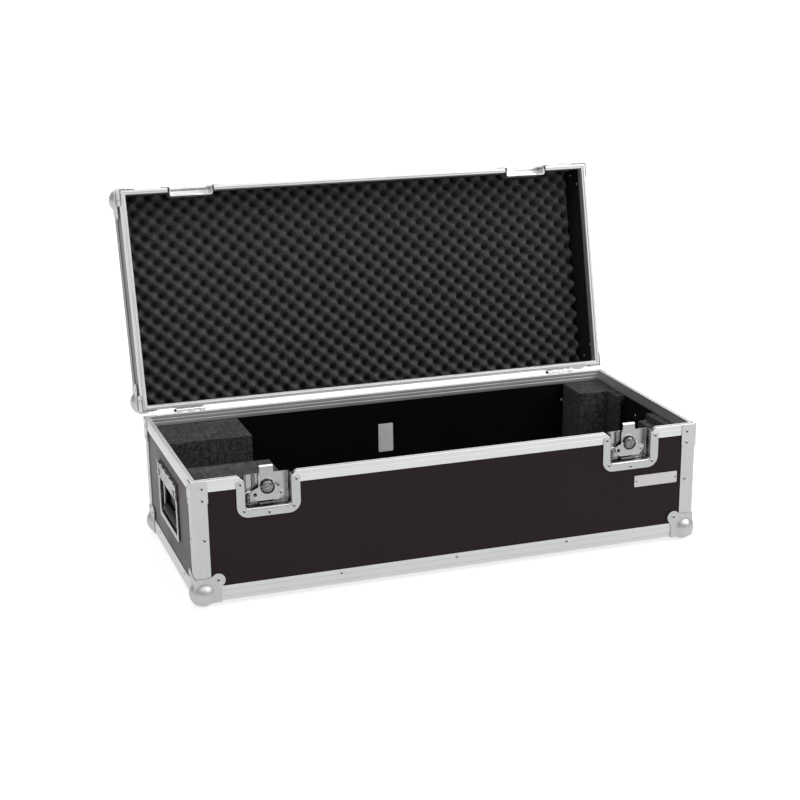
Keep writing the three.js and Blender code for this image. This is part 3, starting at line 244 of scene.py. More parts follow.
@dataclass(frozen=True)
class PressedSteel:
    """Pressed sheet steel with bright zinc: cloudy, with soft dents and rub marks."""

    name: str
    colour: Colour
    roughness: float = 0.3
    cloud: float = 0.1
    cloud_pitch: float = 0.011
    stretch: float = 1.0
    dents: float = 0.35
    grain_scale: float = 900.0
    rub_scales: tuple[float, float, float] = (70.0, 420.0, 420.0)

    def material(self) -> bpy.types.Material:
        """Builds the material."""
        nodes = Nodes(self.name)
        scale = 1.0 / self.cloud_pitch
        clouds = nodes.field((scale, scale / self.stretch, scale), 4.0, 0.6)
        rubs = nodes.field(self.rub_scales, 3.0, 0.65)
        rough = nodes.total(
            nodes.ramp(clouds, -0.06, 0.07, 0.3, 0.7), self.roughness, nodes.ramp(rubs, 0.0, 0.1, 0.55, 0.7))
        dents = nodes.bump(clouds, 0.00025, self.dents)
        return nodes.surface(
            Base_Color=nodes.mixed(
                nodes.ramp(clouds, 0.0, 1.0, 0.35, 0.65), shaded(self.colour, 1.0 - self.cloud), self.colour),
            Metallic=1.0, Roughness=rough,
            Normal=nodes.bump(nodes.field(self.grain_scale), 0.00003, 0.5, dents),
        )


@dataclass(frozen=True)
class Laminate:
    """Plywood under a dark brown laminate, satin and finely pebbled, with a black backing inside."""

    name: str
    centre: tuple[float, float, float]
    tilt: float
    inner_half: tuple[float, float, float]
    sheen: float
    colour: Colour = (0.0128, 0.0074, 0.0086)
    inner_colour: Colour = (0.0022, 0.0021, 0.0022)
    sheen_colour: Colour = (1.0, 0.9, 0.91)
    roughness: float = 0.42
    pebble_scale: float = 620.0
    mottle_scale: float = 9.0
    fibre_scales: tuple[float, float, float] = (60.0, 700.0, 700.0)

    def inside(self, nodes: Nodes) -> Socket:
        """Tells the inner faces by Object coordinates, turned into the case's own.

        Args:
            nodes: The material's nodes.

        Returns:
            One within the case's inner box, and nothing outside it.
        """
        where = nodes.add("TexCoord").outputs["Object"]
        to_own = {"Vector": where, "Location": self.centre, "Rotation": (self.tilt, 0.0, 0.0)}
        own = nodes.add("Mapping", to_own, vector_type="TEXTURE").outputs[0]
        size = nodes.add("VectorMath", {0: own}, operation="ABSOLUTE").outputs[0]
        axes = nodes.add("SeparateXYZ", {0: size}).outputs
        within = [nodes.joint("LESS_THAN", axis, half) for axis, half in zip(axes, self.inner_half)]
        return nodes.joint("MULTIPLY", *within)

    def material(self) -> bpy.types.Material:
        """Builds the material."""
        nodes = Nodes(self.name)
        pebbles = nodes.add("TexVoronoi", {"Vector": nodes.place(self.pebble_scale), "Scale": 1.0})
        mottle = nodes.field(self.mottle_scale, 5.0, 0.6)
        fine = nodes.bump(nodes.field(self.fibre_scales), 0.00002, 0.3)
        brown = nodes.mixed(
            nodes.ramp(mottle, 0.0, 1.0, 0.3, 0.7), shaded(self.colour, 0.88), shaded(self.colour, 1.1))
        return nodes.surface(
            Base_Color=nodes.mixed(self.inside(nodes), brown, self.inner_colour),
            Roughness=nodes.total(nodes.ramp(mottle, -0.05, 0.06, 0.3, 0.7), self.roughness),
            Specular_IOR_Level=0.11, Sheen_Weight=self.sheen, Sheen_Roughness=0.3,
            Sheen_Tint=self.sheen_colour,
            Normal=nodes.bump(pebbles.outputs["Distance"], 0.00006, 0.35, fine),
        )


@dataclass(frozen=True)
class OpenFoam:
    """Charcoal open-cell foam: dull, with fine pores and a soft nap at grazing angles."""

    name: str
    colour: Colour
    pore: float = 0.0011
    streaks: float = 0.0
    pit_shade: float = 0.0
    contrast: float = 1.0
    nap: float = 0.03
    blotch_scale: float = 35.0
    fibre_scales: tuple[float, float, float] = (420.0, 420.0, 40.0)
    weave_scales: tuple[float, float, float] = (60.0, 60.0, 600.0)

    def material(self) -> bpy.types.Material:
        """Builds the material: pores and tufts, then the streaks, and the painted shade in the hollows, where it
        has them.
        """
        nodes = Nodes(self.name)
        where = nodes.place(1.0 / self.pore)
        cells = nodes.add("TexVoronoi", {"Vector": where, "Scale": 1.0}).outputs["Distance"]
        tufts = nodes.noise(where, 4.0, 0.6, scale=0.35)
        speckle = nodes.total(
            nodes.ramp(cells, 0.0, 0.4, 0.05, 0.65),
            nodes.ramp(nodes.field(self.blotch_scale, 3.0), 0.0, 0.25, 0.3, 0.7),
            nodes.ramp(tufts, -0.15, 0.5, 0.4, 0.6),
        )
        dark, light = 1.0 - 0.5 * self.contrast, 1.0 + 0.45 * self.contrast
        colour = nodes.mixed(speckle, shaded(self.colour, dark), shaded(self.colour, light))
        if self.streaks:
            crossed = nodes.total(nodes.field(self.fibre_scales), nodes.field(self.weave_scales))
            colour = nodes.darkened(colour, nodes.ramp(crossed, 1.0 - self.streaks, 1.0, 0.8, 1.1))
        # Painted shade: the colour darkens the deeper a point lies in a hollow, by the height's share in the map.
        if self.pit_shade:
            height = nodes.add("SeparateXYZ", {0: nodes.add("TexCoord").outputs["UV"]}).outputs["Y"]
            colour = nodes.darkened(colour, nodes.ramp(height, 1.0 - self.pit_shade, 1.0, 0.1, 0.95))
        return nodes.surface(
            Base_Color=colour, Roughness=0.95,
            Specular_IOR_Level=0.25, Sheen_Weight=self.nap, Sheen_Roughness=0.5,
            Normal=nodes.bump(tufts, 0.0008, 0.4, nodes.bump(cells, 0.0005, 0.6)),
        )


@dataclass(frozen=True)
class MouldedRubber:
    """Black moulded rubber, dull, with a faint dusty bloom."""

    name: str
    colour: Colour = (0.012, 0.012, 0.013)
    roughness: float = 0.55
    bloom_scale: float = 120.0
    grain_scale: float = 1500.0

    def material(self) -> bpy.types.Material:
        """Builds the material."""
        nodes = Nodes(self.name)
        bloom = nodes.field(self.bloom_scale, 4.0)
        return nodes.surface(
            Base_Color=nodes.mixed(
                nodes.ramp(bloom, 0.0, 1.0, 0.35, 0.7), self.colour, shaded(self.colour, 1.9),
            ),
            Roughness=nodes.total(nodes.ramp(bloom, -0.08, 0.1, 0.3, 0.7), self.roughness),
            Specular_IOR_Level=0.25, Normal=nodes.bump(nodes.field(self.grain_scale, 1.0), 0.00004, 0.5),
        )


@dataclass(frozen=True)
class BarePlate:
    """Thin printed sheet with nothing printed on it: an even, faintly cloudy light grey."""

    name: str
    colour: Colour
    metallic: float = 0.55
    roughness: float = 0.45
    cloud_scale: float = 60.0
    line_scales: tuple[float, float, float] = (60.0, 900.0, 900.0)

    def material(self) -> bpy.types.Material:
        """Builds the material."""
        nodes = Nodes(self.name)
        clouds = nodes.ramp(nodes.field(self.cloud_scale, 4.0), 0.0, 1.0, 0.3, 0.7)
        lines = nodes.field(self.line_scales)
        return nodes.surface(
            Base_Color=nodes.mixed(clouds, shaded(self.colour, 0.92), self.colour), Metallic=self.metallic,
            Roughness=nodes.total(nodes.ramp(lines, -0.05, 0.05, 0.3, 0.7), self.roughness),
            Normal=nodes.bump(lines, 0.00001, 0.4),
        )


def lid_hinge() -> dict:
    """The lid's joint, as the frame holds it."""
    return next(joint for joint in frame["joints"] if joint["name"] == "lid_hinge")


LID_TILT = -math.radians(lid_hinge()["range_deg"][1])
RAIL = DrawnAluminium("drawn_aluminium", Way.SURFACE)
RIM = DrawnAluminium("drawn_aluminium_rim", Way.SURFACE, (0.66, 0.662, 0.668), 0.52)
# The lid's ring is the same aluminium, much darker and with dimmer edge reflections: painted shade on its end
# leaves.
SHADED_LID_RING = DrawnAluminium("shaded_lid_ring_aluminium", Way.SURFACE, (0.36, 0.362, 0.368), edge=0.55)
RAIL_LENGTH = DrawnAluminium("drawn_aluminium_length", Way.LENGTH)
# The uprights are the same aluminium in darker copies: painted shade for their upright faces, which catch less
# light. The lid's copy also dims its edge reflections.
SHADED_RAIL_HEIGHT = DrawnAluminium("drawn_aluminium_height_shaded", Way.HEIGHT, (0.495, 0.497, 0.502))
SHADED_LID_UPRIGHT = DrawnAluminium("drawn_aluminium_lid", Way.HEIGHT, (0.49, 0.492, 0.497), edge=0.5, tilt=LID_TILT)
ZINC = PressedSteel("zinc_steel", (0.44, 0.443, 0.448), 0.3, 0.08)
BALL = PressedSteel("ball_corner_steel", (0.48, 0.483, 0.488), 0.4, 0.08)
BRIGHT = PressedSteel("bright_zinc_steel", (0.82, 0.823, 0.83), 0.24, 0.03, dents=0.04)
# The keeper's pressing is the same zinc as its flange in a far lighter copy: a painted highlight where it faces up
# in the open lid.
LIT_KEEPER = PressedSteel("lit_keeper_steel", (0.8, 0.803, 0.81), 0.35, 0.06, dents=0.01)
# A lighter steel for the hook's bent crown, a painted highlight on the same sheet as the hook plate, and for the
# arch by the hub.
LIT_BENT = PressedSteel("lit_bent_steel", (0.6, 0.603, 0.61), 0.34, 0.05, dents=0.02)
DULL = PressedSteel("dull_zinc_steel", (0.37, 0.373, 0.378), 0.34, 0.1)
NICKEL = PressedSteel("worn_nickel", (0.28, 0.28, 0.283), 0.3, 0.65, 0.006)
RIVET = PressedSteel("rivet_steel", (0.52, 0.523, 0.53), 0.26, 0.06)
BRACE = PressedSteel("brace_steel", (0.5, 0.502, 0.508), 0.38, 0.06)
# A dark copy of the dish's zinc: painted shade on the latch dish's recess walls, and on the guide and lug in the
# dark slot under the wing.
SHADED_PAN = PressedSteel("shaded_dish_wall_steel", (0.2, 0.202, 0.206), 0.22, 0.5)
WING = PressedSteel("stamped_bright_steel", (0.4, 0.402, 0.407), 0.32, 0.06)
# The hook plate's own steel. It is also the latch dish's back, which it darkens below the flange's zinc as painted
# shade in the recess.
HOOK_AND_BACK_SHADE = PressedSteel("stamped_steel_and_back_shade", (0.38, 0.382, 0.387), 0.28, 0.1)
# Near black steel, painted shade: the handle dish's wall and back in their recess, and the hub's disc in the gap
# round its dome.
RECESS_SHADE = PressedSteel("recess_shade_steel", (0.05, 0.05, 0.051), 0.4, 0.4)
# The rivets' broken pin ends are real mandrels, made near black as painted shade in the holes.
HOLE_SHADE_PIN_END = PressedSteel("pin_steel_hole_shade", (0.012, 0.012, 0.013), 0.6, 0.3)
SPRING = PressedSteel("mottled_spring_steel", (0.44, 0.442, 0.448), 0.26, 0.85, 0.0065, 2.8)
# The egg crate's hollows are darkened, painted shade.
EGG_FOAM = OpenFoam("egg_crate_foam", (0.052, 0.052, 0.053), pit_shade=0.7)
BLOCK_FOAM = OpenFoam("block_foam", (0.032, 0.032, 0.033), 0.0025, streaks=0.55, contrast=1.5)
RUBBER = MouldedRubber("grip_rubber")
BADGE = BarePlate("bare_badge", (0.5, 0.49, 0.485))
LABEL = BarePlate("bare_label", (0.6, 0.61, 0.62), 0.1, 0.4)

Finish = DrawnAluminium | PressedSteel | Laminate | OpenFoam | MouldedRubber | BarePlate
MADE: dict[str, bpy.types.Material] = {}


def dressed(finish: Finish) -> bpy.types.Material:
    """A finish's material, built once."""
    if finish.name not in MADE:
        MADE[finish.name] = finish.material()
    return MADE[finish.name]


# Shapes, all in millimetres


@dataclass
class Body:
    """A closed shape: its points, its faces in arrays of equal corner counts, and a map in metres."""

    points: Array
    faces: list[Array]
    mapped: Array | None = None

    def moved(self, x: float = 0.0, y: float = 0.0, z: float = 0.0) -> "Body":
        """A copy, shifted."""
        return Body(self.points + np.array([x, y, z]), self.faces, self.mapped)

    def along_x(self, y: float = 0.0, z: float = 0.0) -> "Body":
        """A copy whose axis, once z, lies along x, shifted."""
        return Body(self.points[:, [2, 0, 1]], self.faces, self.mapped).moved(0.0, y, z)

    def along_y(self, x: float = 0.0, y: float = 0.0, z: float = 0.0) -> "Body":
        """A copy whose axis, once z, lies along y, shifted."""
        return Body(self.points[:, [0, 2, 1]], self.faces, self.mapped).moved(x, y, z)


def rotation(degrees: float, axis: str) -> Matrix:
    """A turn about an axis."""
    return Matrix.Rotation(math.radians(degrees), 4, axis)


@dataclass(frozen=True)
class Placement:
    """Where a sub-assembly's own millimetres lie in the frame."""

    matrix: Matrix

    def at(self, points: Array) -> Array:
        """Carries points from millimetres into the frame's metres."""
        grid = np.array(self.matrix)
        return points @ grid[:3, :3].T + grid[:3, 3]

    def moved(self, x: float = 0.0, y: float = 0.0, z: float = 0.0) -> "Placement":
        """A placement within this one, shifted."""
        return Placement(self.matrix @ Matrix.Translation((x, y, z)))

    def turned(self, turn: Matrix) -> "Placement":
        """A placement within this one, turned."""
        return Placement(self.matrix @ turn)


def joined(bodies: Iterable[Body]) -> Body:
    """Lays several bodies into one.

    Args:
        bodies: The bodies, of which those without a map get a flat one.

    Returns:
        The one body.
    """
    points, faces, mapped, start = [], [], [], 0
    for body in bodies:
        points.append(body.points)
        faces += [group + start for group in body.faces]
        mapped.append(body.points[:, :2] * MM if body.mapped is None else body.mapped)
        start += len(body.points)
    return Body(np.vstack(points), faces, np.vstack(mapped))


def grid_faces(rows: int, columns: int, around: bool = False) -> Array:
    """The four-cornered faces of a grid of points.

    Args:
        rows: How many rows of points it has.
        columns: How many points a row has.
        around: True if the last column meets the first.

    Returns:
        One row of four numbers for each face.
    """
    row = np.arange(rows - 1)[:, None] * columns
    column = np.arange(columns if around else columns - 1)[None, :]
    after = (column + 1) % columns
    corners = [row + column, row + after, row + columns + after, row + columns + column]
    return np.stack([corner.ravel() for corner in corners], axis=1)


def ringed(points: Array) -> Body:
    """A skin over rings of points, (rings, columns, 3), with a flat face at each end."""
    rows, columns = points.shape[:2]
    end = np.arange(columns)
    caps = [end[None, ::-1], end[None, :] + (rows - 1) * columns]
    return Body(points.reshape(-1, 3), [grid_faces(rows, columns, around=True), *caps])


def lengths_along(points: Array) -> Array:
    """The distance from a line's first point to each of its points."""
    steps = np.linalg.norm(np.diff(points, axis=0), axis=1)
    return np.concatenate([[0.0], np.cumsum(steps)])


def unit(vectors: Array) -> Array:
    """Vectors at length one."""
    return vectors / np.maximum(np.linalg.norm(vectors, axis=-1, keepdims=True), 1e-12)


def filleted(points: Sequence[Sequence[float]], radius: float | Sequence[float], steps: int = 5) -> Array:
    """Rounds the corners of a closed outline.

    At each corner the arc is the rational curve (1-s)^2 P + 2 s(1-s) w C + s^2 Q over its weights, with
    C the corner, P and Q the tangent points and w the sine of half the angle between the sides.

    Args:
        points: The outline's corners.
        radius: One radius, or one for each corner.
        steps: How many steps an arc has.

    Returns:
        The outline's points, with as many for every corner.
    """
    corner = np.asarray(points, float)
    before = unit(np.roll(corner, 1, axis=0) - corner)
    after = unit(np.roll(corner, -1, axis=0) - corner)
    half = 0.5 * np.arccos(np.clip((before * after).sum(1), -1.0, 1.0))
    reach = np.broadcast_to(np.asarray(radius, float), half.shape) / np.maximum(np.tan(half), 1e-6)
    room = 0.49 * np.minimum(
        np.linalg.norm(np.roll(corner, 1, axis=0) - corner, axis=1),
        np.linalg.norm(np.roll(corner, -1, axis=0) - corner, axis=1),
    )
    reach = np.minimum(reach, room)[:, None, None]
    s = np.linspace(0.0, 1.0, steps + 1)[None, :, None]
    weight = np.sin(half)[:, None, None]
    first = corner[:, None] + before[:, None] * reach
    last = corner[:, None] + after[:, None] * reach
    parts = (1 - s) ** 2, 2 * s * (1 - s) * weight, s ** 2
    curve = (parts[0] * first + parts[1] * corner[:, None] + parts[2] * last) / sum(parts)
    return curve.reshape(-1, corner.shape[1])


def without_repeats(outline: Array) -> Array:
    """Drops points that lie on the one before them."""
    gap = np.linalg.norm(outline - np.roll(outline, 1, axis=0), axis=1)
    return outline[gap > 1e-5]


def swept(profile: Array, stations: Array, across: Array, up: Array, closed: bool = False) -> Body:
    """Carries a closed profile along stations: point = station + u * across + v * up.

    Args:
        profile: The profile's (u, v) points.
        stations: The stations' places.
        across: The direction of u at each station, whose length may stretch it.
        up: The direction of v at each station.
        closed: True if the last station meets the first.

    Returns:
        The body, mapped by its length and by the way round its profile.
    """
    across = np.broadcast_to(across, stations.shape)
    up = np.broadcast_to(up, stations.shape)
    if closed:
        stations, across, up = (np.vstack([rows, rows[:1]]) for rows in (stations, across, up))
    ring = np.vstack([profile, profile[:1]])
    points = (stations[:, None] + ring[None, :, :1] * across[:, None] + ring[None, :, 1:] * up[:, None])
    rows, columns = points.shape[:2]
    mapped = np.empty((rows, columns, 2))
    mapped[..., 0] = lengths_along(stations)[:, None] * MM
    mapped[..., 1] = lengths_along(ring)[None, :] * MM
    faces = [grid_faces(rows, columns)]
    if not closed:
        end = np.arange(columns - 1)
        faces += [end[None, ::-1], end[None, :] + (rows - 1) * columns]
    return Body(points.reshape(-1, 3), faces, mapped.reshape(-1, 2))


def arc(x: float, y: float, radius: float | Sequence[float], start: float, end: float, count: int) -> Array:
    """Points on a circle or an ellipse, from one angle to another.

    Args:
        x: The centre's x.
        y: The centre's y.
        radius: The radius, or one along x and one along y.
        start: The first point's angle, in degrees.
        end: The last point's angle, in degrees.
        count: How many points it has.

    Returns:
        The points.
    """
    wide, high = np.broadcast_to(radius, 2)
    turn = np.radians(np.linspace(start, end, count))
    return np.stack([x + wide * np.cos(turn), y + high * np.sin(turn)], axis=1)


def circle(x: float, y: float, radius: float, sides: int = 28) -> Array:
    """A circle's outline."""
    return arc(x, y, radius, 0.0, 360.0, sides + 1)[:-1]


def bezier(start: Array, pull: Array, end: Array, count: int) -> Array:
    """Points on a quadratic curve: (1-s)^2 P + 2 s(1-s) C + s^2 Q.

    Args:
        start: P, where it starts, as one row.
        pull: C, which it bends towards.
        end: Q, where it ends.
        count: How many points it has.

    Returns:
        The points.
    """
    s = np.linspace(0.0, 1.0, count)[:, None]
    return (1 - s) ** 2 * start + 2 * s * (1 - s) * pull + s ** 2 * end


def revolved(profile: Outline, sides: int = 32) -> Body:
    """Turns a profile about z: each point goes round a circle of its own radius at its own height.

    Args:
        profile: An open profile of (radius, height) points, from the axis to the axis.
        sides: How many sides the circle has.

    Returns:
        The body, mapped from above.
    """
    outline = np.asarray(profile, float)
    turn = np.linspace(0.0, TURN, sides, endpoint=False)
    radius, height = outline[:, 0][:, None], outline[:, 1][:, None]
    points = np.stack([radius * np.cos(turn), radius * np.sin(turn), height + 0.0 * turn], axis=-1)
    points = points.reshape(-1, 3)
    return Body(points, [grid_faces(len(outline), sides, around=True)], points[:, :2] * MM)


def tube(path: Array, radius: float, reference: Sequence[float], sides: int) -> Body:
    """A round wire along a path: at each point a circle square to the path's tangent.

    Args:
        path: The path's points.
        radius: The wire's radius.
        reference: A direction that the path never runs along.
        sides: How many sides the circle has.

    Returns:
        The wire, with flat ends.
    """
    tangent = unit(np.gradient(path, axis=0))
    guide = np.asarray(reference, float)
    across = unit(guide - (tangent @ guide)[:, None] * tangent)
    return swept(circle(0.0, 0.0, radius, sides), path, across, np.cross(tangent, across))


def between(outer: Array, inner: Array, open_sides: bool = False) -> Body:
    """The solid between two grids of points, which are joined along their four sides.

    Args:
        outer: The outer grid, (rows, columns, 3).
        inner: The inner grid, of the same size.
        open_sides: True leaves the first and last rows and the first column without a wall.

    Returns:
        The body.
    """
    rows, columns = outer.shape[:2]
    count = rows * columns
    number = np.arange(count).reshape(rows, columns)
    edges = [number[:, -1]] if open_sides else [
        number[0], number[:, -1], number[-1, ::-1], number[::-1, 0],
    ]
    walls = [
        np.stack([edge[:-1], edge[:-1] + count, edge[1:] + count, edge[1:]], axis=1) for edge in edges
    ]
    sheet = grid_faces(rows, columns)
    points = np.vstack([outer.reshape(-1, 3), inner.reshape(-1, 3)])
    return Body(points, [sheet, sheet[:, ::-1] + count, *walls])


def plate(outlines: Sequence[Array], low: float, high: float, edge: float = 0.25) -> Body:
    """A flat plate in x and y from one height to another, with softened edges.

    Args:
        outlines: Its outer outline and those of its holes.
        low: The height of its lower face.
        high: The height of its upper face.
        edge: The radius of its edges.

    Returns:
        The plate.
    """
    curve = bpy.data.curves.new("plate", "CURVE")
    curve.dimensions = "2D"
    curve.fill_mode = "BOTH"
    curve.extrude = (high - low) / 2.0 - edge
    curve.bevel_depth = edge
    curve.bevel_resolution = 2
    curve.offset = -edge
    for outline in outlines:
        flat = without_repeats(np.asarray(outline, float))
        spline = curve.splines.new("POLY")
        spline.points.add(len(flat) - 1)
        rows = np.zeros((len(flat), 4))
        rows[:, :2], rows[:, 3] = flat, 1.0
        spline.points.foreach_set("co", rows.ravel())
        spline.use_cyclic_u = True
    holder = bpy.data.objects.new("plate", curve)
    bpy.context.scene.collection.objects.link(holder)
    bpy.context.view_layer.update()
    mesh = holder.evaluated_get(bpy.context.evaluated_depsgraph_get()).to_mesh()
    points = np.empty(3 * len(mesh.vertices))
    mesh.vertices.foreach_get("co", points)
    sizes = np.array([len(polygon.vertices) for polygon in mesh.polygons])
    corners = np.empty(len(mesh.loops), int)
    mesh.loops.foreach_get("vertex_index", corners)
    starts = np.concatenate([[0], np.cumsum(sizes)[:-1]])
    faces = [
        corners[starts[sizes == size][:, None] + np.arange(size)[None, :]] for size in np.unique(sizes)
    ]
    bpy.data.objects.remove(holder)
    bpy.data.curves.remove(curve)
    points = points.reshape(-1, 3) + np.array([0.0, 0.0, (low + high) / 2.0])
    return Body(points, faces)


def rectangle(x0: float, x1: float, y0: float, y1: float, radius: float) -> Array:
    """A rectangle's outline with rounded corners."""
    return filleted([(x0, y0), (x1, y0), (x1, y1), (x0, y1)], radius)


def shown(name: str, data: bpy.types.ID) -> bpy.types.Object:
    """An object of its own for some data, in the scene."""
    item = bpy.data.objects.new(name, data)
    bpy.context.scene.collection.objects.link(item)
    return item


def build(name: str, bodies: Iterable[Body] | Body, place: Placement, finish: Finish, body: str,
          instead: Sequence[str] = (), bevel: float = 0.0,
          smooth: float = 32.0) -> bpy.types.Object:
    """Makes one finished piece.

    Args:
        name: The piece's name.
        bodies: Its shapes, in millimetres.
        place: Where they lie.
        finish: Its finish.
        body: The frame's body that it rides on.
        instead: The nodes that it stands for.
        bevel: The width of a bevel on its sharp edges, in millimetres.
        smooth: Edges sharper than this angle in degrees stay sharp.

    Returns:
        The piece's object, at the origin.
    """
    same_place, no_length, bevelled_angle = 1e-6, 1e-7, math.radians(45.0)
    shape = joined([bodies] if isinstance(bodies, Body) else bodies)
    mesh = bpy.data.meshes.new(name)
    faces = [face for group in shape.faces for face in group.tolist()]
    mesh.from_pydata(place.at(shape.points), [], faces)
    corners = np.empty(len(mesh.loops), int)
    mesh.loops.foreach_get("vertex_index", corners)
    mesh.uv_layers.new(name="along").data.foreach_set("uv", shape.mapped[corners].ravel())
    work = bmesh.new()
    work.from_mesh(mesh)
    bmesh.ops.remove_doubles(work, verts=work.verts, dist=same_place)
    bmesh.ops.dissolve_degenerate(work, edges=work.edges, dist=no_length)
    bmesh.ops.recalc_face_normals(work, faces=work.faces)
    work.to_mesh(mesh)
    work.free()
    mesh.polygons.foreach_set("use_smooth", np.ones(len(mesh.polygons), bool))
    mesh.set_sharp_from_angle(angle=math.radians(smooth))
    mesh.materials.append(dressed(finish))
    piece = shown(name, mesh)
    if bevel > 0.0:
        soft = piece.modifiers.new("soft edges", "BEVEL")
        soft.width = bevel * MM
        soft.segments = 2
        soft.limit_method = "ANGLE"
        soft.angle_limit = bevelled_angle
        soft.harden_normals = True
    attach(piece, body)
    if instead:
        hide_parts(*instead)
    LOG.info("%s: %d faces on %s", name, len(mesh.polygons), body)
    return piece


def cut_away(piece: bpy.types.Object, rooms: Iterable[tuple[Array, Array]]) -> None:
    """Cuts boxes out of a piece and keeps the result as its mesh.

    Args:
        piece: The piece.
        rooms: Each box's two far corners, in metres.
    """
    for one, other in rooms:
        low, high = np.minimum(one, other), np.maximum(one, other)
        corners = np.array([[x, y, z] for x in (0, 1) for y in (0, 1) for z in (0, 1)], float)
        mesh = bpy.data.meshes.new("room")
        mesh.from_pydata(low + corners * (high - low), [], [
            (0, 1, 3, 2), (4, 6, 7, 5), (0, 4, 5, 1), (2, 3, 7, 6), (0, 2, 6, 4), (1, 5, 7, 3),
        ])
        room = shown("room", mesh)
        cut = piece.modifiers.new("room", "BOOLEAN")
        cut.operation, cut.solver, cut.object = "DIFFERENCE", "EXACT", room
        bpy.context.view_layer.update()
        graph = bpy.context.evaluated_depsgraph_get()
        carved = bpy.data.meshes.new_from_object(piece.evaluated_get(graph))
        piece.modifiers.clear()
        piece.data = carved
        bpy.data.objects.remove(room)


@dataclass
class CaseFrame:
    """The case's main sizes and where its parts lie in the frame."""

    length: float = 1000.0
    depth: float = 435.0
    base_height: float = 231.0
    lid_height: float = 100.0
    skin: float = 1.2
    fit: float = 0.3
    ply: float = 6.8
    corners: tuple[tuple[int, int], ...] = ((-1, -1), (1, -1), (1, 1), (-1, 1))
    corner_names: tuple[str, ...] = ("front_left", "front_right", "back_right", "back_left")
    inner_margin: float = 5.0

    @property
    def half_length(self) -> float:
        """Half the length."""
        return self.length / 2.0

    @property
    def half_depth(self) -> float:
        """Half the depth."""
        return self.depth / 2.0

    @property
    def top(self) -> float:
        """The height of the closed case."""
        return self.base_height + self.lid_height

    @property
    def inside(self) -> float:
        """How far the inner faces lie within the outer ones."""
        return self.skin + self.ply + 2.0 * self.fit

    def base(self) -> Placement:
        """The base's placement, found from the floor panel."""
        low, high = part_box("floor_panel")
        middle = (low + high) / 2.0
        origin = Vector((middle.x, middle.y, low.z - (self.skin + self.fit) * MM))
        return Placement(Matrix.Translation(origin) @ Matrix.Scale(MM, 4))

    def lid(self) -> Placement:
        """The lid's placement: the closed case's, turned back about the hinges."""
        hinge = Vector(lid_hinge()["pos_m"])
        turn = Matrix.Translation(hinge) @ Matrix.Rotation(LID_TILT, 4, "X") @ Matrix.Translation(-hinge)
        return Placement(turn @ self.base().matrix)

    def corner(self, place: Placement, number: int) -> Placement:
        """A corner's placement, with the case towards its +x and +y, counted from the front left."""
        x, y = self.corners[number]
        return place.moved(x * self.half_length, y * self.half_depth).turned(rotation(90.0 * number, "Z"))

    def side(self, place: Placement, turn: float, distance: float) -> Placement:
        """A side's placement, turned by an angle in degrees: x along it, y up and z out of its face."""
        return place.turned(rotation(turn, "Z")).moved(0.0, -distance).turned(rotation(90.0, "X"))

    def laminate(self, name: str, place: Placement, low: float, high: float, sheen: float) -> Laminate:
        """The laminate for one half of the case.

        Args:
            name: Its name.
            place: The half's placement.
            low: The height of the half's lower end in the closed case.
            high: The height of its upper end.
            sheen: The weight of its sheen.

        Returns:
            The finish.
        """
        centre = place.matrix @ Vector((0.0, 0.0, 0.5 * (low + high)))
        margin = self.skin + 2.0 * self.fit + 0.5 * self.ply
        halves = (self.half_length - margin, self.half_depth - margin, 0.5 * (high - low) - self.inner_margin)
        turn = place.matrix.to_euler().x
        return Laminate(name, tuple(centre), turn, tuple(half * MM for half in halves), sheen)


CASE = CaseFrame()
BASE_BOARD = CASE.laminate("brown_laminate", CASE.base(), 0.0, CASE.base_height, 0.13)
# The lid's laminate has more sheen than the base's: painted sheen that lightens its end panel at grazing angles.
LID_BOARD = CASE.laminate("brown_laminate_lid", CASE.lid(), CASE.base_height, CASE.top, 0.3)


# Studio


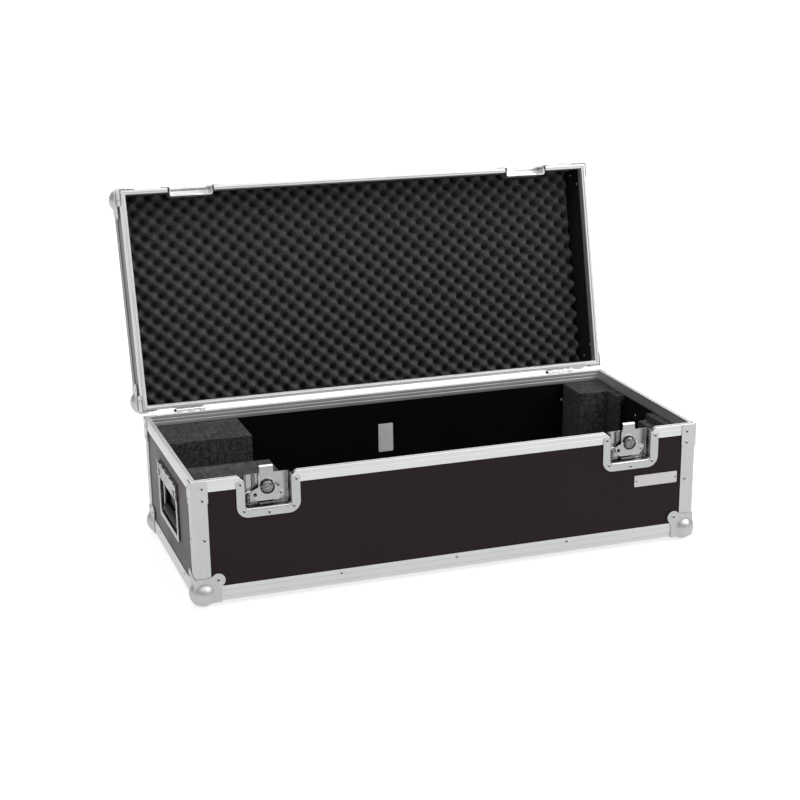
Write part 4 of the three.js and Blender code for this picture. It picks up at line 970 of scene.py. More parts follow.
@dataclass
class Studio:
    """The camera, the pale floor and the soft lights."""

    place: tuple[float, float, float] = (-1.0325, -3.0669, 1.1976)
    yaw: float = 20.92
    pitch: float = 19.331
    focal_pixels: float = 1663.8
    picture: float = 800.0
    centre_pixel: tuple[float, float] = (466.1, 489.2)
    sensor: float = 36.0
    floor_size: float = 400.0
    front_level: float = 0.4
    back_level: float = 1.3
    top_level: float = 2.3
    left_share: float = 0.45
    left_room: float = 0.35
    floor_grey: float = 0.3
    floor_glow: float = 0.74
    target: tuple[float, float, float] = (0.0, 0.0, 0.3)

    def camera(self) -> None:
        """Sets the camera up at the photograph's viewing angle."""
        data = bpy.data.cameras.new("camera")
        camera = shown("camera", data)
        data.sensor_fit = "HORIZONTAL"
        data.sensor_width = self.sensor
        data.lens = self.focal_pixels * self.sensor / self.picture
        half = self.picture / 2.0
        data.shift_x = (half - self.centre_pixel[0]) / self.picture
        data.shift_y = (self.centre_pixel[1] - half) / self.picture
        camera.location = self.place
        turn = (math.radians(90.0 - self.pitch), 0.0, -math.radians(self.yaw))
        camera.rotation_euler = turn
        bpy.context.scene.camera = camera

    def floor(self) -> None:
        """Lays a plain pale floor under the case."""
        mesh = bpy.data.meshes.new("floor")
        corners = [(x * self.floor_size / 2.0, y * self.floor_size / 2.0, 0.0) for x, y in CASE.corners]
        mesh.from_pydata(corners, [], [(0, 1, 2, 3)])
        nodes = Nodes("pale_floor")
        mesh.materials.append(nodes.surface(
            Base_Color=(self.floor_grey,) * 3, Roughness=0.9, Specular_IOR_Level=0.1,
            Emission_Color=(1.0, 1.0, 1.0), Emission_Strength=self.floor_glow,
        ))
        shown("floor", mesh)

    def light(self, name: str, place: Sequence[float], size: Sequence[float], power: float) -> None:
        """Hangs one soft box that points at the case.

        Args:
            name: Its name.
            place: Where it hangs, in metres.
            size: Its width and height.
            power: Its power in watts.
        """
        data = bpy.data.lights.new(name, "AREA")
        data.shape = "RECTANGLE"
        data.size, data.size_y = size
        data.energy = power
        lamp = shown(name, data)
        lamp.visible_camera = False
        lamp.location = place
        lamp.rotation_euler = (Vector(self.target) - Vector(place)).to_track_quat("-Z", "Y").to_euler()

    def surroundings(self) -> None:
        """A white studio, seen white by the camera.

        In what the case reflects it is bright behind and overhead, dimmer to the left, and grey in the
        room behind the camera. Each step between two levels is a smooth ramp along one axis of the
        direction.
        """
        world = bpy.data.worlds.new("studio")
        world.use_nodes = True
        bpy.context.scene.world = world
        tree = world.node_tree
        background = tree.nodes["Background"]
        where = tree.nodes.new("ShaderNodeTexCoord")
        split = tree.nodes.new("ShaderNodeSeparateXYZ")
        tree.links.new(where.outputs["Generated"], split.inputs[0])

        def level(axis: str, start: float, end: float, low: Socket | float, high: Socket | float) -> Socket:
            """Goes smoothly from one brightness to another along an axis.

            Args:
                axis: The axis.
                start: Where the ramp starts on it.
                end: Where it ends.
                low: The brightness up to its start.
                high: The brightness from its end on.

            Returns:
                The brightness.
            """
            ramp = tree.nodes.new("ShaderNodeMapRange")
            ramp.interpolation_type = "SMOOTHSTEP"
            tree.links.new(split.outputs[axis], ramp.inputs["Value"])
            ramp.inputs["From Min"].default_value = start
            ramp.inputs["From Max"].default_value = end
            for name, value in (("To Min", low), ("To Max", high)):
                if isinstance(value, Socket):
                    tree.links.new(value, ramp.inputs[name])
                else:
                    ramp.inputs[name].default_value = value
            return ramp.outputs[0]

        behind = level("X", -0.5, -0.02, self.left_room * self.back_level, self.back_level)
        round_about = level("Y", -0.35, 0.45, self.front_level, behind)
        overhead = level("X", -0.75, 0.15, self.left_share * self.top_level, self.top_level)
        whole = level("Z", 0.4, 0.8, round_about, overhead)
        rays = tree.nodes.new("ShaderNodeLightPath")
        backdrop = tree.nodes.new("ShaderNodeMath")
        backdrop.operation = "MAXIMUM"
        tree.links.new(rays.outputs["Is Camera Ray"], backdrop.inputs[0])
        tree.links.new(whole, backdrop.inputs[1])
        tree.links.new(backdrop.outputs[0], background.inputs["Strength"])
        background.inputs["Color"].default_value = (1.0, 1.0, 1.0, 1.0)

    def build(self) -> None:
        """Builds the studio."""
        scene = bpy.context.scene
        scene.view_settings.view_transform = "Standard"
        scene.view_settings.look = "None"
        self.camera()
        self.floor()
        self.surroundings()
        self.light("key", (2.4, -2.6, 2.5), (2.2, 1.8), 50.0)
        self.light("fill", (-3.4, -0.6, 1.6), (1.6, 1.6), 8.0)
        LOG.info("studio: camera, floor and lights")


def dress_nodes() -> None:
    """Gives each node of the frame its finish."""
    slots = {part["node"]: part["material_slot"] for part in frame["record"]["subparts"]}
    by_slot = {"extrusion": RAIL_LENGTH, "steel": ZINC, "chrome": NICKEL, "laminate": BASE_BOARD,
               "foam": BLOCK_FOAM, "rubber": RUBBER}
    for name, node in frame["nodes"].items():
        finish = LID_BOARD if name.startswith("lid_") and slots[name] == "laminate" else by_slot[slots[name]]
        node.data.materials.clear()
        node.data.materials.append(dressed(finish))


# Sub-assemblies


@dataclass
class Rivets:
    """Round rivets with a drilled head, gathered for each body that they hold together."""

    head: float = 3.7
    rise: float = 1.4
    hole: float = 1.95
    sink: float = 0.5
    rim: float = 0.3
    foot: float = 0.2
    hole_floor: float = 0.2
    pin_play: float = 0.03
    pin_rise: float = 0.85
    pin_round: float = 0.15
    laid: dict[str, list[Body]] = field(default_factory=dict)
    pins: dict[str, list[Body]] = field(default_factory=dict)

    def shape(self, size: float) -> Body:
        """A rivet's head, turned from its profile and sunk a little into the sheet.

        Its back is a quarter of an ellipse between the hole's rim and the head's edge.

        Args:
            size: A factor on its width.

        Returns:
            The head, with the sheet's face at z = 0.
        """
        inner = self.hole + self.rim
        dome = arc(inner, self.foot, (self.head - inner, self.rise - self.foot), 0.0, 90.0, 6)
        start = [(0.0, -self.sink), (self.head, -self.sink)]
        end = [(self.hole, self.rise - 0.5 * self.rim), (self.hole, self.hole_floor), (0.0, self.hole_floor)]
        return revolved(np.vstack([start, dome, end]) * np.array([size, 1.0]), 20)

    def add(self, body: str, place: Placement, spots: Outline, out: float, size: float = 1.0) -> None:
        """Sets rivets.

        Args:
            body: The body that carries them.
            place: A placement whose z points out of the sheet.
            spots: Their (x, y) places there.
            out: How far out the sheet's face lies.
            size: A factor on their width.
        """
        radius, low = size * (self.hole - self.pin_play), self.hole_floor + 0.05
        pin = revolved([(0.0, low), (radius, low), (radius, low + self.pin_rise - self.pin_round),
                        (0.6 * radius, low + self.pin_rise - 0.05), (0.0, low + self.pin_rise)], 14)
        for shape, laid in ((self.shape(size), self.laid), (pin, self.pins)):
            for x, y in spots:
                points = place.at(shape.points + np.array([x, y, out]))
                laid.setdefault(body, []).append(Body(points, shape.faces, shape.mapped))

    def build(self) -> None:
        """Builds one piece of rivets for each body, and one of the pin ends broken off within them, near black as
        painted shade in the holes.
        """
        whole = Placement(Matrix.Identity(4))
        for body, shapes in self.laid.items():
            build(f"{body}_rivets", shapes, whole, RIVET, body)
            build(f"{body}_rivet_pins_hole_shade", self.pins[body], whole, HOLE_SHADE_PIN_END, body)


@dataclass(frozen=True)
class RimShape:
    """What sets a closing rim's section apart on one half of the case.

    Heights are measured from the meeting face: signed in the seam, and otherwise away from the seam.
    """

    way: float
    foot: float
    seam: tuple[tuple[float, float], ...]
    seam_radii: tuple[float, ...]
    line: float
    web: float


BASE_RIM = RimShape(-1.0, 0.0, ((3.4, 0.0), (3.4, -1.6), (7.0, -1.6), (7.0, 0.9)),
                    (0.8, 0.8, 0.25, 0.2, 0.2, 0.4), 5.4, 3.2)
LID_RIM = RimShape(1.0, 0.4, ((4.4, 0.4), (4.7, -1.0), (5.7, -1.0), (6.0, 1.3)),
                   (0.6, 0.6, 0.2, 0.3, 0.3, 0.2), 6.4, 4.5)


@dataclass
class Rails:
    """The drawn aluminium: bottom and top angles, closing rims, and uprights with their brace plates."""

    rivets: Rivets
    leaf: float = 28.6
    round: float = 1.6
    groove_shares: tuple[float, ...] = (0.3, 0.72)
    groove_half: float = 1.5
    groove_depth: float = 0.45
    rim_leaf: float = 21.3
    slope_drop: float = 8.0
    slope_back: float = 0.8
    slope_foot: float = 0.6
    line: float = 0.7
    line_depth: float = 0.45
    inner_line_depth: float = 0.35
    inner_line_pitch: float = 7.2
    chamfer_length: float = 10.0
    chamfer_height: float = 8.0
    latch_places: tuple[float, float] = (-360.0, 360.0)
    stop_half: float = 43.5
    lid_stop_half: float = 46.5
    brace_leg: float = 30.0
    brace_corner: float = 7.0
    brace_length: float = 46.0
    lid_brace_length: float = 42.0
    brace_bevel: float = 0.25
    brace_out: float = 1.5
    brace_rivet_inset: float = 19.3
    base_brace_rivets: tuple[float, float] = (-14.0, -36.5)
    lid_brace_rivets: tuple[float, float] = (13.0, 33.0)
    middle_rivet: tuple[float, float] = (20.0, 119.0)
    edge_rivet_inset: float = 21.0
    front_rivets: tuple[float, ...] = (-228.0, 0.0, 228.0)
    end_rivets: tuple[float, ...] = (-115.0, 115.0)

    def angle_profile(self) -> Array:
        """An angle's section: u inwards and v up from its outer corner, grooved on both leaves.

        A groove's depth is half of its greatest times one plus the cosine across its width.
        """
        along = np.linspace(self.leaf, self.round, 52)
        deep = np.zeros_like(along)
        for share in self.groove_shares:
            across = np.clip((along - share * self.leaf) / self.groove_half, -1.0, 1.0)
            deep += self.groove_depth * 0.5 * (1.0 + np.cos(math.pi * across))
        bend = arc(self.round, self.round, self.round, 180.0, 270.0, 6)[1:-1]
        side, under = np.stack([deep, along], 1), np.stack([along, deep], 1)[::-1]
        corners = [(self.leaf, CASE.skin), (CASE.skin, CASE.skin), (CASE.skin, self.leaf)]
        inner = filleted(corners, (0, 0.8, 0), 3)
        return without_repeats(np.vstack([side, bend, under, inner]))

    def rim_profile(self, shape: RimShape) -> Array:
        """A closing rim's section round the meeting face at v = 0.

        It runs up the outer leaf over a fine line and the slope, across the seam, and down the inner leaf
        over two fine lines.

        Args:
            shape: The half's own sizes.

        Returns:
            The (u, v) points.
        """
        thick, rise = CASE.inside + CASE.skin, shape.seam[-1][1]
        drop, foot, back = self.slope_drop, shape.foot, self.slope_back
        outer = [(0.0, self.rim_leaf), (0.0, drop + 2.0 * self.line), (self.line_depth, drop + self.line),
                 (0.0, drop), (back, foot + self.slope_foot), (back + self.slope_foot, foot)]
        lines = []
        for start in (shape.line, shape.line + self.inner_line_pitch):
            lines += [(thick, start), (thick - self.inner_line_depth, start + self.line),
                      (thick, start + 2.0 * self.line)]
        inner = [(thick, self.rim_leaf), (thick - CASE.skin, self.rim_leaf), (thick - CASE.skin, shape.web),
                 (CASE.skin, shape.web), (CASE.skin, self.rim_leaf)]
        lip = [(thick - 0.6, rise), (thick, rise + 0.6 * shape.way)]
        way = np.array([1.0, shape.way])
        outline = np.vstack([outer * way, shape.seam, lip, (lines + inner) * way])
        radii = [0.3, 0.3, 0.5, 0.3, *shape.seam_radii, 0.6, 0.6, 0.2, 0.4, 0.2, 0.2, 0.4, 0.2,
                 0.3, 0.3, 0.5, 0.5, 0.3]
        return filleted(outline, radii, 3) + np.array([0.0, CASE.base_height])

    def station(self, corner: int, along: str = "") -> tuple[Array, Array]:
        """A corner's station and its inward diagonal, held back by half a joint if it ends a rail.

        Args:
            corner: The corner's number.
            along: The axis of the rail that ends there, or nothing.

        Returns:
            The place and the direction of u.
        """
        x, y = CASE.corners[corner]
        inward = np.array([-x, -y, 0.0])
        place = np.array([x * CASE.half_length, y * CASE.half_depth, 0.0])
        if along:
            place["xy".index(along)] += inward["xy".index(along)] * CASE.fit * math.sqrt(0.5)
        return place, inward

    def front_end(self, x: float) -> tuple[Array, Array]:
        """A square end of a rim on the front."""
        return np.array([x, -CASE.half_depth, 0.0]), np.array([0.0, 1.0, 0.0])

    def run(self, profile: Array, stations: Sequence[tuple[Array, Array]], closed: bool = False) -> Body:
        """Carries a section along stations."""
        places, across = (np.array(rows) for rows in zip(*stations))
        return swept(profile, places, across, np.array([0.0, 0.0, 1.0]), closed)

    def chamfered(self, rim: Body, ends: Sequence[tuple[float, int]]) -> Body:
        """Slopes a rim's ends: above the chamfer's foot a point moves back as it rises.

        Args:
            rim: The rim.
            ends: Each end's x, with +1 if it faces +x.

        Returns:
            The rim with sloped ends.
        """
        points = rim.points.copy()
        rise = np.maximum(points[:, 2] - (CASE.base_height - self.chamfer_height), 0.0)
        for x, side in ends:
            at_end = np.isclose(points[:, 0], x) & (points[:, 1] < 0.0)
            points[at_end, 0] -= side * rise[at_end] * self.chamfer_length / self.chamfer_height
        return Body(points, rim.faces, rim.mapped)

    def base_rails(self) -> None:
        """The bottom angles and the base's closing rims."""
        place, angle = CASE.base(), self.angle_profile()
        runs = {"front": (0, 1, "x"), "back": (3, 2, "x"), "left": (0, 3, "y"), "right": (1, 2, "y")}
        for side, (start, end, along) in runs.items():
            rail = self.run(angle, [self.station(start, along), self.station(end, along)])
            node = f"bottom_edge_{side}"
            build(f"{node}_drawn", rail, place, RAIL, "base", [node])
        stops = [x + way * self.stop_half for x in self.latch_places for way in (-1, 1)]
        ends = [self.front_end(x) for x in stops]
        rims = {
            "left": ([ends[0], self.station(0), self.station(3, "y")], [(stops[0], 1)]),
            "right": ([ends[3], self.station(1), self.station(2, "y")], [(stops[3], -1)]),
            "front": (ends[1:3], [(stops[1], -1), (stops[2], 1)]),
            "back": ([self.station(3, "x"), self.station(2, "x")], []),
        }
        profile = self.rim_profile(BASE_RIM)
        for side, (stations, sloped) in rims.items():
            node = f"base_rim_{side}"
            shape = self.chamfered(self.run(profile, stations), sloped)
            build(f"{node}_drawn", shape, place, RIM, "base", [node])

    def bend(self, out: float, radius: float) -> Array:
        """The line of a bent brace plate in plan, round the corner at the origin.

        Args:
            out: How far out of the case its face lies.
            radius: The bend's radius.

        Returns:
            The (x, y) points, the same on both legs.
        """
        centre = radius - out
        near = self.brace_leg - self.brace_corner * (1.0 - np.cos(np.linspace(0.0, 0.5 * math.pi, 9)))
        first = np.stack([near, np.full_like(near, -out)], 1)
        return np.vstack([first, arc(centre, centre, radius, 270.0, 180.0, 8), first[::-1, ::-1]])

    def brace(self, low: float, high: float) -> Body:
        """A brace plate bent round a corner, with rounded ends.

        Near the ends of its legs the heights are drawn in by a quarter circle.

        Args:
            low: Its lower height.
            high: Its upper height.

        Returns:
            The plate.
        """
        radius = self.brace_corner
        outer, inner = self.bend(self.brace_out, 2.0), self.bend(0.3, 0.8)
        from_end = np.minimum(self.brace_leg - outer.max(axis=1), radius)
        drawn_in = radius - np.sqrt(radius ** 2 - (radius - from_end) ** 2)
        share = np.linspace(0.0, 1.0, 3)[None, :]
        height = (low + drawn_in)[:, None] * (1.0 - share) + (high - drawn_in)[:, None] * share
        grids = [
            np.concatenate([np.repeat(line[:, None], share.size, axis=1), height[..., None]], axis=2)
            for line in (outer, inner)
        ]
        return between(*grids)

    def upright(self, low: float, high: float) -> Body:
        """An upright angle from one height to another."""
        stations = np.array([[0.0, 0.0, low], [0.0, 0.0, high]])
        return swept(self.angle_profile(), stations, np.array([1.0, 0.0, 0.0]), np.array([0.0, 1.0, 0.0]))

    def corner_rivets(self, body: str, corner: Placement, heights: Sequence[float], inset: float,
                      out: float) -> None:
        """Sets rivets on both faces of a corner.

        Args:
            body: The body that carries them.
            corner: The corner's placement.
            heights: Their heights.
            inset: How far in from the corner they stand.
            out: How far out the sheet's face lies.
        """
        front = corner.turned(rotation(90.0, "X"))
        end = corner.turned(rotation(-90.0, "Z")).turned(rotation(90.0, "X"))
        self.rivets.add(body, front, [(inset, height) for height in heights], out)
        self.rivets.add(body, end, [(-inset, height) for height in heights], out)

    def uprights(self) -> None:
        """The base's four uprights with their brace plates."""
        top = CASE.base_height
        for number, name in enumerate(CASE.corner_names):
            corner = CASE.corner(CASE.base(), number)
            angle = self.upright(self.leaf + CASE.fit, top - self.rim_leaf - CASE.fit)
            brace = self.brace(top - self.brace_length, top - 2.0 * CASE.fit)
            node = f"corner_edge_{name}"
            # The upright takes the darker copy of the aluminium, painted shade.
            build(f"{node}_drawn", angle, corner, SHADED_RAIL_HEIGHT, "base", [node])
            build(f"{node}_brace", brace, corner, BRACE, "base", (), self.brace_bevel)
            heights = [top + height for height in self.base_brace_rivets]
            self.corner_rivets("base", corner, heights, self.brace_rivet_inset, self.brace_out)
            inset, height = self.middle_rivet
            self.corner_rivets("base", corner, [height], inset, 0.0)

    def lid_rails(self) -> None:
        """The lid's ring of angles with its uprights, and its closing rims."""
        lid, top, low = CASE.lid(), CASE.top, CASE.base_height
        profile = self.angle_profile() * np.array([1.0, -1.0]) + np.array([0.0, top])
        ring = self.run(profile, [self.station(corner) for corner in range(4)], True)
        # The ring takes the darkened copy of the aluminium, painted shade.
        build("lid_edge_ring_drawn", ring, lid, SHADED_LID_RING, "lid", ["lid_edge_frame"])
        for number, name in enumerate(CASE.corner_names):
            corner = CASE.corner(lid, number)
            angle = self.upright(low + self.rim_leaf + CASE.fit, top - self.leaf)
            brace = self.brace(low + 1.0, low + self.lid_brace_length)
            # The lid's upright takes the darker copy of the aluminium, painted shade.
            build(f"lid_upright_{name}_drawn", angle, corner, SHADED_LID_UPRIGHT, "lid")
            build(f"lid_upright_{name}_brace", brace, corner, BRACE, "lid", (), self.brace_bevel)
            heights = [low + height for height in self.lid_brace_rivets]
            self.corner_rivets("lid", corner, heights, self.brace_rivet_inset, self.brace_out)
        rim = self.rim_profile(LID_RIM)
        left, right = self.latch_places
        half = self.lid_stop_half
        frame_run = [self.front_end(left - half), *(self.station(corner) for corner in (0, 3, 2, 1)),
                     self.front_end(right + half)]
        front_run = [self.front_end(left + half), self.front_end(right - half)]
        for node, stations in (("lid_rim_frame", frame_run), ("lid_rim_front", front_run)):
            build(f"{node}_drawn", self.run(rim, stations), lid, RIM, "lid", [node])

    def edge_rivets(self) -> None:
        """The rivets along the bottom angles and the lid's ring."""
        low, size = self.edge_rivet_inset, 0.85
        for place, body, height in ((CASE.base(), "base", low), (CASE.lid(), "lid", CASE.top - low)):
            for distance, turns, places in ((CASE.half_depth, (0.0, 180.0), self.front_rivets),
                                            (CASE.half_length, (-90.0, 90.0), self.end_rivets)):
                for turn in turns:
                    face = CASE.side(place, turn, distance)
                    self.rivets.add(body, face, [(x, height) for x in places], 0.0, size)

    def build(self) -> None:
        """Builds all the rails."""
        self.base_rails()
        self.uprights()
        self.lid_rails()
        self.edge_rivets()


@dataclass
class BallCorner:
    """A pressed ball corner: the ball and three leaves in one sheet, with a lobe on each leaf."""

    rivets: Rivets
    radius: float = 25.0
    inset: float = 14.6
    leaf: float = 46.0
    straight: float = 13.0
    lobe: float = 13.5
    lobe_centre: float = 40.5
    lobe_start: float = -30.0
    pull: float = 29.0
    out: float = 1.5
    under: float = 0.3
    foot_flat: float = 0.2
    crease: float = 5.0
    bevel: float = 0.3
    rivet_place: tuple[float, float] = (41.0, 41.5)

    def outline(self, start: float, turns: Array) -> Array:
        """How far the leaf's outline lies from a point on its corner's diagonal.

        The outline runs straight up from the leaf's end, then in a quadratic curve to the lobe, whose
        arc crosses the diagonal. It is the same on both sides of the diagonal.

        Args:
            start: The corner's x and y, from which the distances are taken.
            turns: Angles from the leaf's first edge.

        Returns:
            The distance in each of these directions.
        """
        lobe = arc(self.lobe_centre, self.lobe_centre, self.lobe, self.lobe_start, 45.0, 40)
        foot, pull = np.array([[self.leaf, self.straight]]), np.array([[self.leaf, self.pull]])
        half = np.vstack([[[self.leaf, start]], bezier(foot, pull, lobe[:1], 30), lobe]) - start
        angle = np.arctan2(half[:, 1], half[:, 0])
        reach = np.hypot(half[:, 0], half[:, 1])
        folded = np.where(turns > math.pi / 4.0, math.pi / 2.0 - turns, turns)
        return np.interp(folded, angle, reach)

    def leaf_grid(self, height: float) -> Array:
        """One leaf as a grid of points, by the angle and by the share of the way to its outline.

        Args:
            height: The height of its face, which is also the x and y of its corner.

        Returns:
            The grid, (angles, shares, 3).
        """
        bend = np.linspace(0.0, math.pi / 2.0, 65)
        share = np.concatenate([np.linspace(0.0, 0.62, 34), np.linspace(0.66, 1.0, 9)])
        reach = self.outline(height, bend)
        x = height + share[None, :] * (reach * np.cos(bend))[:, None]
        y = height + share[None, :] * (reach * np.sin(bend))[:, None]
        return np.stack([x, y, np.full_like(x, height)], axis=-1)

    def swollen(self, points: Array) -> Array:
        """Pushes points out from the ball's centre to the larger of their distance and the radius.

        The crease between the two is softened by a square that fades over the crease's width, and the
        foot is flat.

        Args:
            points: The points.

        Returns:
            The pushed points.
        """
        centre = np.full(3, self.inset)
        away = points - centre
        distance = np.linalg.norm(away, axis=-1, keepdims=True)
        near = np.maximum(self.crease - np.abs(distance - self.radius), 0.0) / self.crease
        reach = np.maximum(distance, self.radius) + 0.25 * self.crease * near ** 2
        pushed = centre + away * reach / distance
        pushed[..., 2] = np.maximum(pushed[..., 2], self.inset - self.radius + self.foot_flat)
        return pushed

    def shape(self) -> Body:
        """The whole corner, with the case towards +x, +y and +z: one leaf, turned twice by a third."""
        outer, inner = self.leaf_grid(-self.out), self.leaf_grid(-self.under)
        leaves = []
        for third in range(3):
            turn = np.array(Matrix.Rotation(third * TURN / 3.0, 3, Vector((1.0, 1.0, 1.0)))).T
            leaves.append(between(self.swollen(outer @ turn), inner @ turn, open_sides=True))
        return joined(leaves)

    def build(self) -> None:
        """Builds the four corners of the base and the four of the lid."""
        shape = self.shape()
        over = CASE.lid().moved(0.0, 0.0, CASE.top).turned(rotation(180.0, "X"))
        lid_names = ("back_left", "back_right", "front_right", "front_left")
        for place, body, names, prefix in (
            (CASE.base(), "base", CASE.corner_names, "ball_corner_"),
            (over, "lid", lid_names, "lid_ball_corner_"),
        ):
            for number, name in enumerate(names):
                corner = CASE.corner(place, number)
                node = prefix + name
                build(f"{node}_pressed", shape, corner, BALL, body, [node], self.bevel)
                self.leaf_rivets(body, corner)

    def leaf_rivets(self, body: str, corner: Placement) -> None:
        """Sets one rivet in each leaf's lobe.

        Args:
            body: The body that carries them.
            corner: The corner's placement.
        """
        x, y = self.rivet_place
        upright = rotation(90.0, "X")
        faces = ((upright, x, y), (rotation(-90.0, "Z") @ upright, -x, y), (rotation(180.0, "X"), x, -y))
        for turn, across, up in faces:
            self.rivets.add(body, corner.turned(turn), [(across, up)], self.out)


@dataclass
class EggCrate:
    """The lid's foam panel: round hollows and hills in two crossing waves, over a flat backing."""

    backing: float = 17.0
    rise: float = 24.0
    right_margin: float = 16.0
    play: float = 0.6
    back_play: float = 0.4
    first_wave: tuple[float, float] = (0.027584, -0.031198)
    second_wave: tuple[float, float] = (0.029049, 0.028774)
    phases: tuple[float, float] = (0.6386, 0.6480)
    spacing: float = 2.4
    pit_power: float = 1.35

    def height(self, x: Array, y: Array) -> Array:
        """How high the foam stands over its backing, as a share of its rise.

        The share is one less the pit's. That is half of one plus the mean of the two waves' cosines, to a
        power that narrows the hollows.

        Args:
            x: Places along the case.
            y: Places across the lid.

        Returns:
            The share at each place.
        """
        turns = [
            TURN * (wave[0] * x + wave[1] * y + phase)
            for wave, phase in zip((self.first_wave, self.second_wave), self.phases)
        ]
        mean = 0.5 * (np.cos(turns[0]) + np.cos(turns[1]))
        return 1.0 - (0.5 * (1.0 + mean)) ** self.pit_power

    def shape(self) -> Body:
        """The panel in the closed case's millimetres, mapped by its length and by its height's share."""
        left = CASE.inside + self.play - CASE.half_length
        right = CASE.half_length - CASE.inside - self.right_margin
        side = CASE.half_depth - CASE.inside - self.play
        x, y = np.meshgrid(
            np.linspace(left, right, int((right - left) / self.spacing)),
            np.linspace(-side, side, int(2.0 * side / self.spacing)),
        )
        back, share = CASE.top - CASE.inside - self.back_play, self.height(x, y)
        points = np.stack([x, y, back - self.backing - self.rise * share], axis=-1).reshape(-1, 3)
        rows, columns = x.shape
        number = np.arange(rows * columns).reshape(rows, columns)
        loop = np.concatenate([number[0, :-1], number[:-1, -1], number[-1, :0:-1], number[:0:-1, 0]])
        lower = points[loop] * np.array([1.0, 1.0, 0.0]) + np.array([0.0, 0.0, back])
        under = np.arange(len(loop)) + len(points)
        walls = np.stack([loop, under, np.roll(under, -1), np.roll(loop, -1)], axis=1)
        whole = np.vstack([points, lower])
        # The foam's painted shade in the hollows reads the height's share in this map.
        mapped = np.stack([whole[:, 0] * MM, np.concatenate([share.ravel(), np.zeros(len(lower))])], axis=1)
        return Body(whole, [grid_faces(rows, columns), walls, under[None, :]], mapped)

    def build(self) -> None:
        panel = build("lid_egg_crate_foam", self.shape(), CASE.lid(), EGG_FOAM, "lid", ["lid_foam"],
                      smooth=60.0)


@dataclass(frozen=True)
class BlockShape:
    """One foam block: its node, its count of glued layers and what it is cut round."""

    node: str
    layers: int
    carved: tuple[str, ...] = ()


@dataclass
class FoamBlocks:
    """The base's foam blocks, glued up from upright layers."""

    shapes: tuple[BlockShape, ...] = (
        BlockShape("foam_front_left", 12, ("left_latch_dish", "left_handle_dish")),
        BlockShape("foam_back_left", 6),
        BlockShape("foam_back_left_second", 6),
        BlockShape("foam_back_right_sheet", 1, ("right_handle_dish",)),
        BlockShape("foam_back_right", 5),
        BlockShape("foam_front_right", 1, ("right_handle_dish",)),
    )
    corner: float = 1.1
    kerf: float = 0.55
    kerf_half: float = 0.7
    step: float = 4.0
    room: float = 2.5
    stepped: str = "foam_front_right"
    stair_length: float = 16.0
    stair_drop: float = 14.0
    stair_overlap: float = 0.6

    def block(self, low: Array, high: Array, layers: int) -> Body:
        """A block whose section, a rectangle with soft corners, is drawn in at each layer's joint.

        Towards its ends the section is drawn in by a quarter circle, and at a joint by a straight notch.

        Args:
            low: Its lowest corner.
            high: Its highest corner.
            layers: How many layers it is glued from.

        Returns:
            The block.
        """
        ends = np.array([0.0, 0.25 * self.corner, self.corner])
        joints = low[0] + (high[0] - low[0]) * np.arange(1, layers) / layers
        near = np.array([-1.0, -0.5, 0.0, 0.5, 1.0]) * self.kerf_half
        x = np.unique(np.concatenate([
            low[0] + ends, high[0] - ends, (joints[:, None] + near).ravel(),
            np.arange(low[0] + 2.0 * self.step, high[0] - self.step, self.step),
        ]))
        short = np.maximum(self.corner - np.minimum(x - low[0], high[0] - x), 0.0)
        inward = self.corner - np.sqrt(np.maximum(self.corner ** 2 - short ** 2, 0.0))
        if layers > 1:
            gap = np.abs(x[:, None] - joints[None, :]).min(axis=1)
            inward += self.kerf * np.maximum(1.0 - gap / self.kerf_half, 0.0)
        half = (high[1:] - low[1:]) / 2.0
        middle = (low[1:] + high[1:]) / 2.0
        corners = np.array([(-1, -1), (1, -1), (1, 1), (-1, 1)]) * half
        ring = without_repeats(filleted(corners, self.corner, 4))
        spread = (half[None, :] - inward[:, None]) / half[None, :]
        section = middle + ring[None, :, :] * spread[:, None, :]
        along = np.broadcast_to(x[:, None, None], (*section.shape[:2], 1))
        return ringed(np.concatenate([along, section], axis=2))

    def rooms(self, nodes: Sequence[str]) -> list[tuple[Array, Array]]:
        """The boxes of the nodes that a block is cut round, with some play."""
        boxes = [[np.array(corner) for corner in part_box(node)] for node in nodes]
        return [(low - self.room * MM, high + self.room * MM) for low, high in boxes]

    def build(self) -> None:
        base = CASE.base()
        own = Placement(base.matrix.inverted())
        for shape in self.shapes:
            low, high = own.at(np.array(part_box(shape.node)))
            parts = [(low, high)]
            if shape.node == self.stepped:
                edge = low[0] + self.stair_length
                parts = [
                    (np.array([edge, low[1], low[2]]), high),
                    (low, np.array([edge + self.stair_overlap, high[1], high[2] - self.stair_drop])),
                ]
            bodies = [self.block(*part, shape.layers) for part in parts]
            piece = build(f"{shape.node}_block", bodies, base, BLOCK_FOAM, "base", [shape.node],
                          smooth=50.0)
            cut_away(piece, self.rooms(shape.carved))


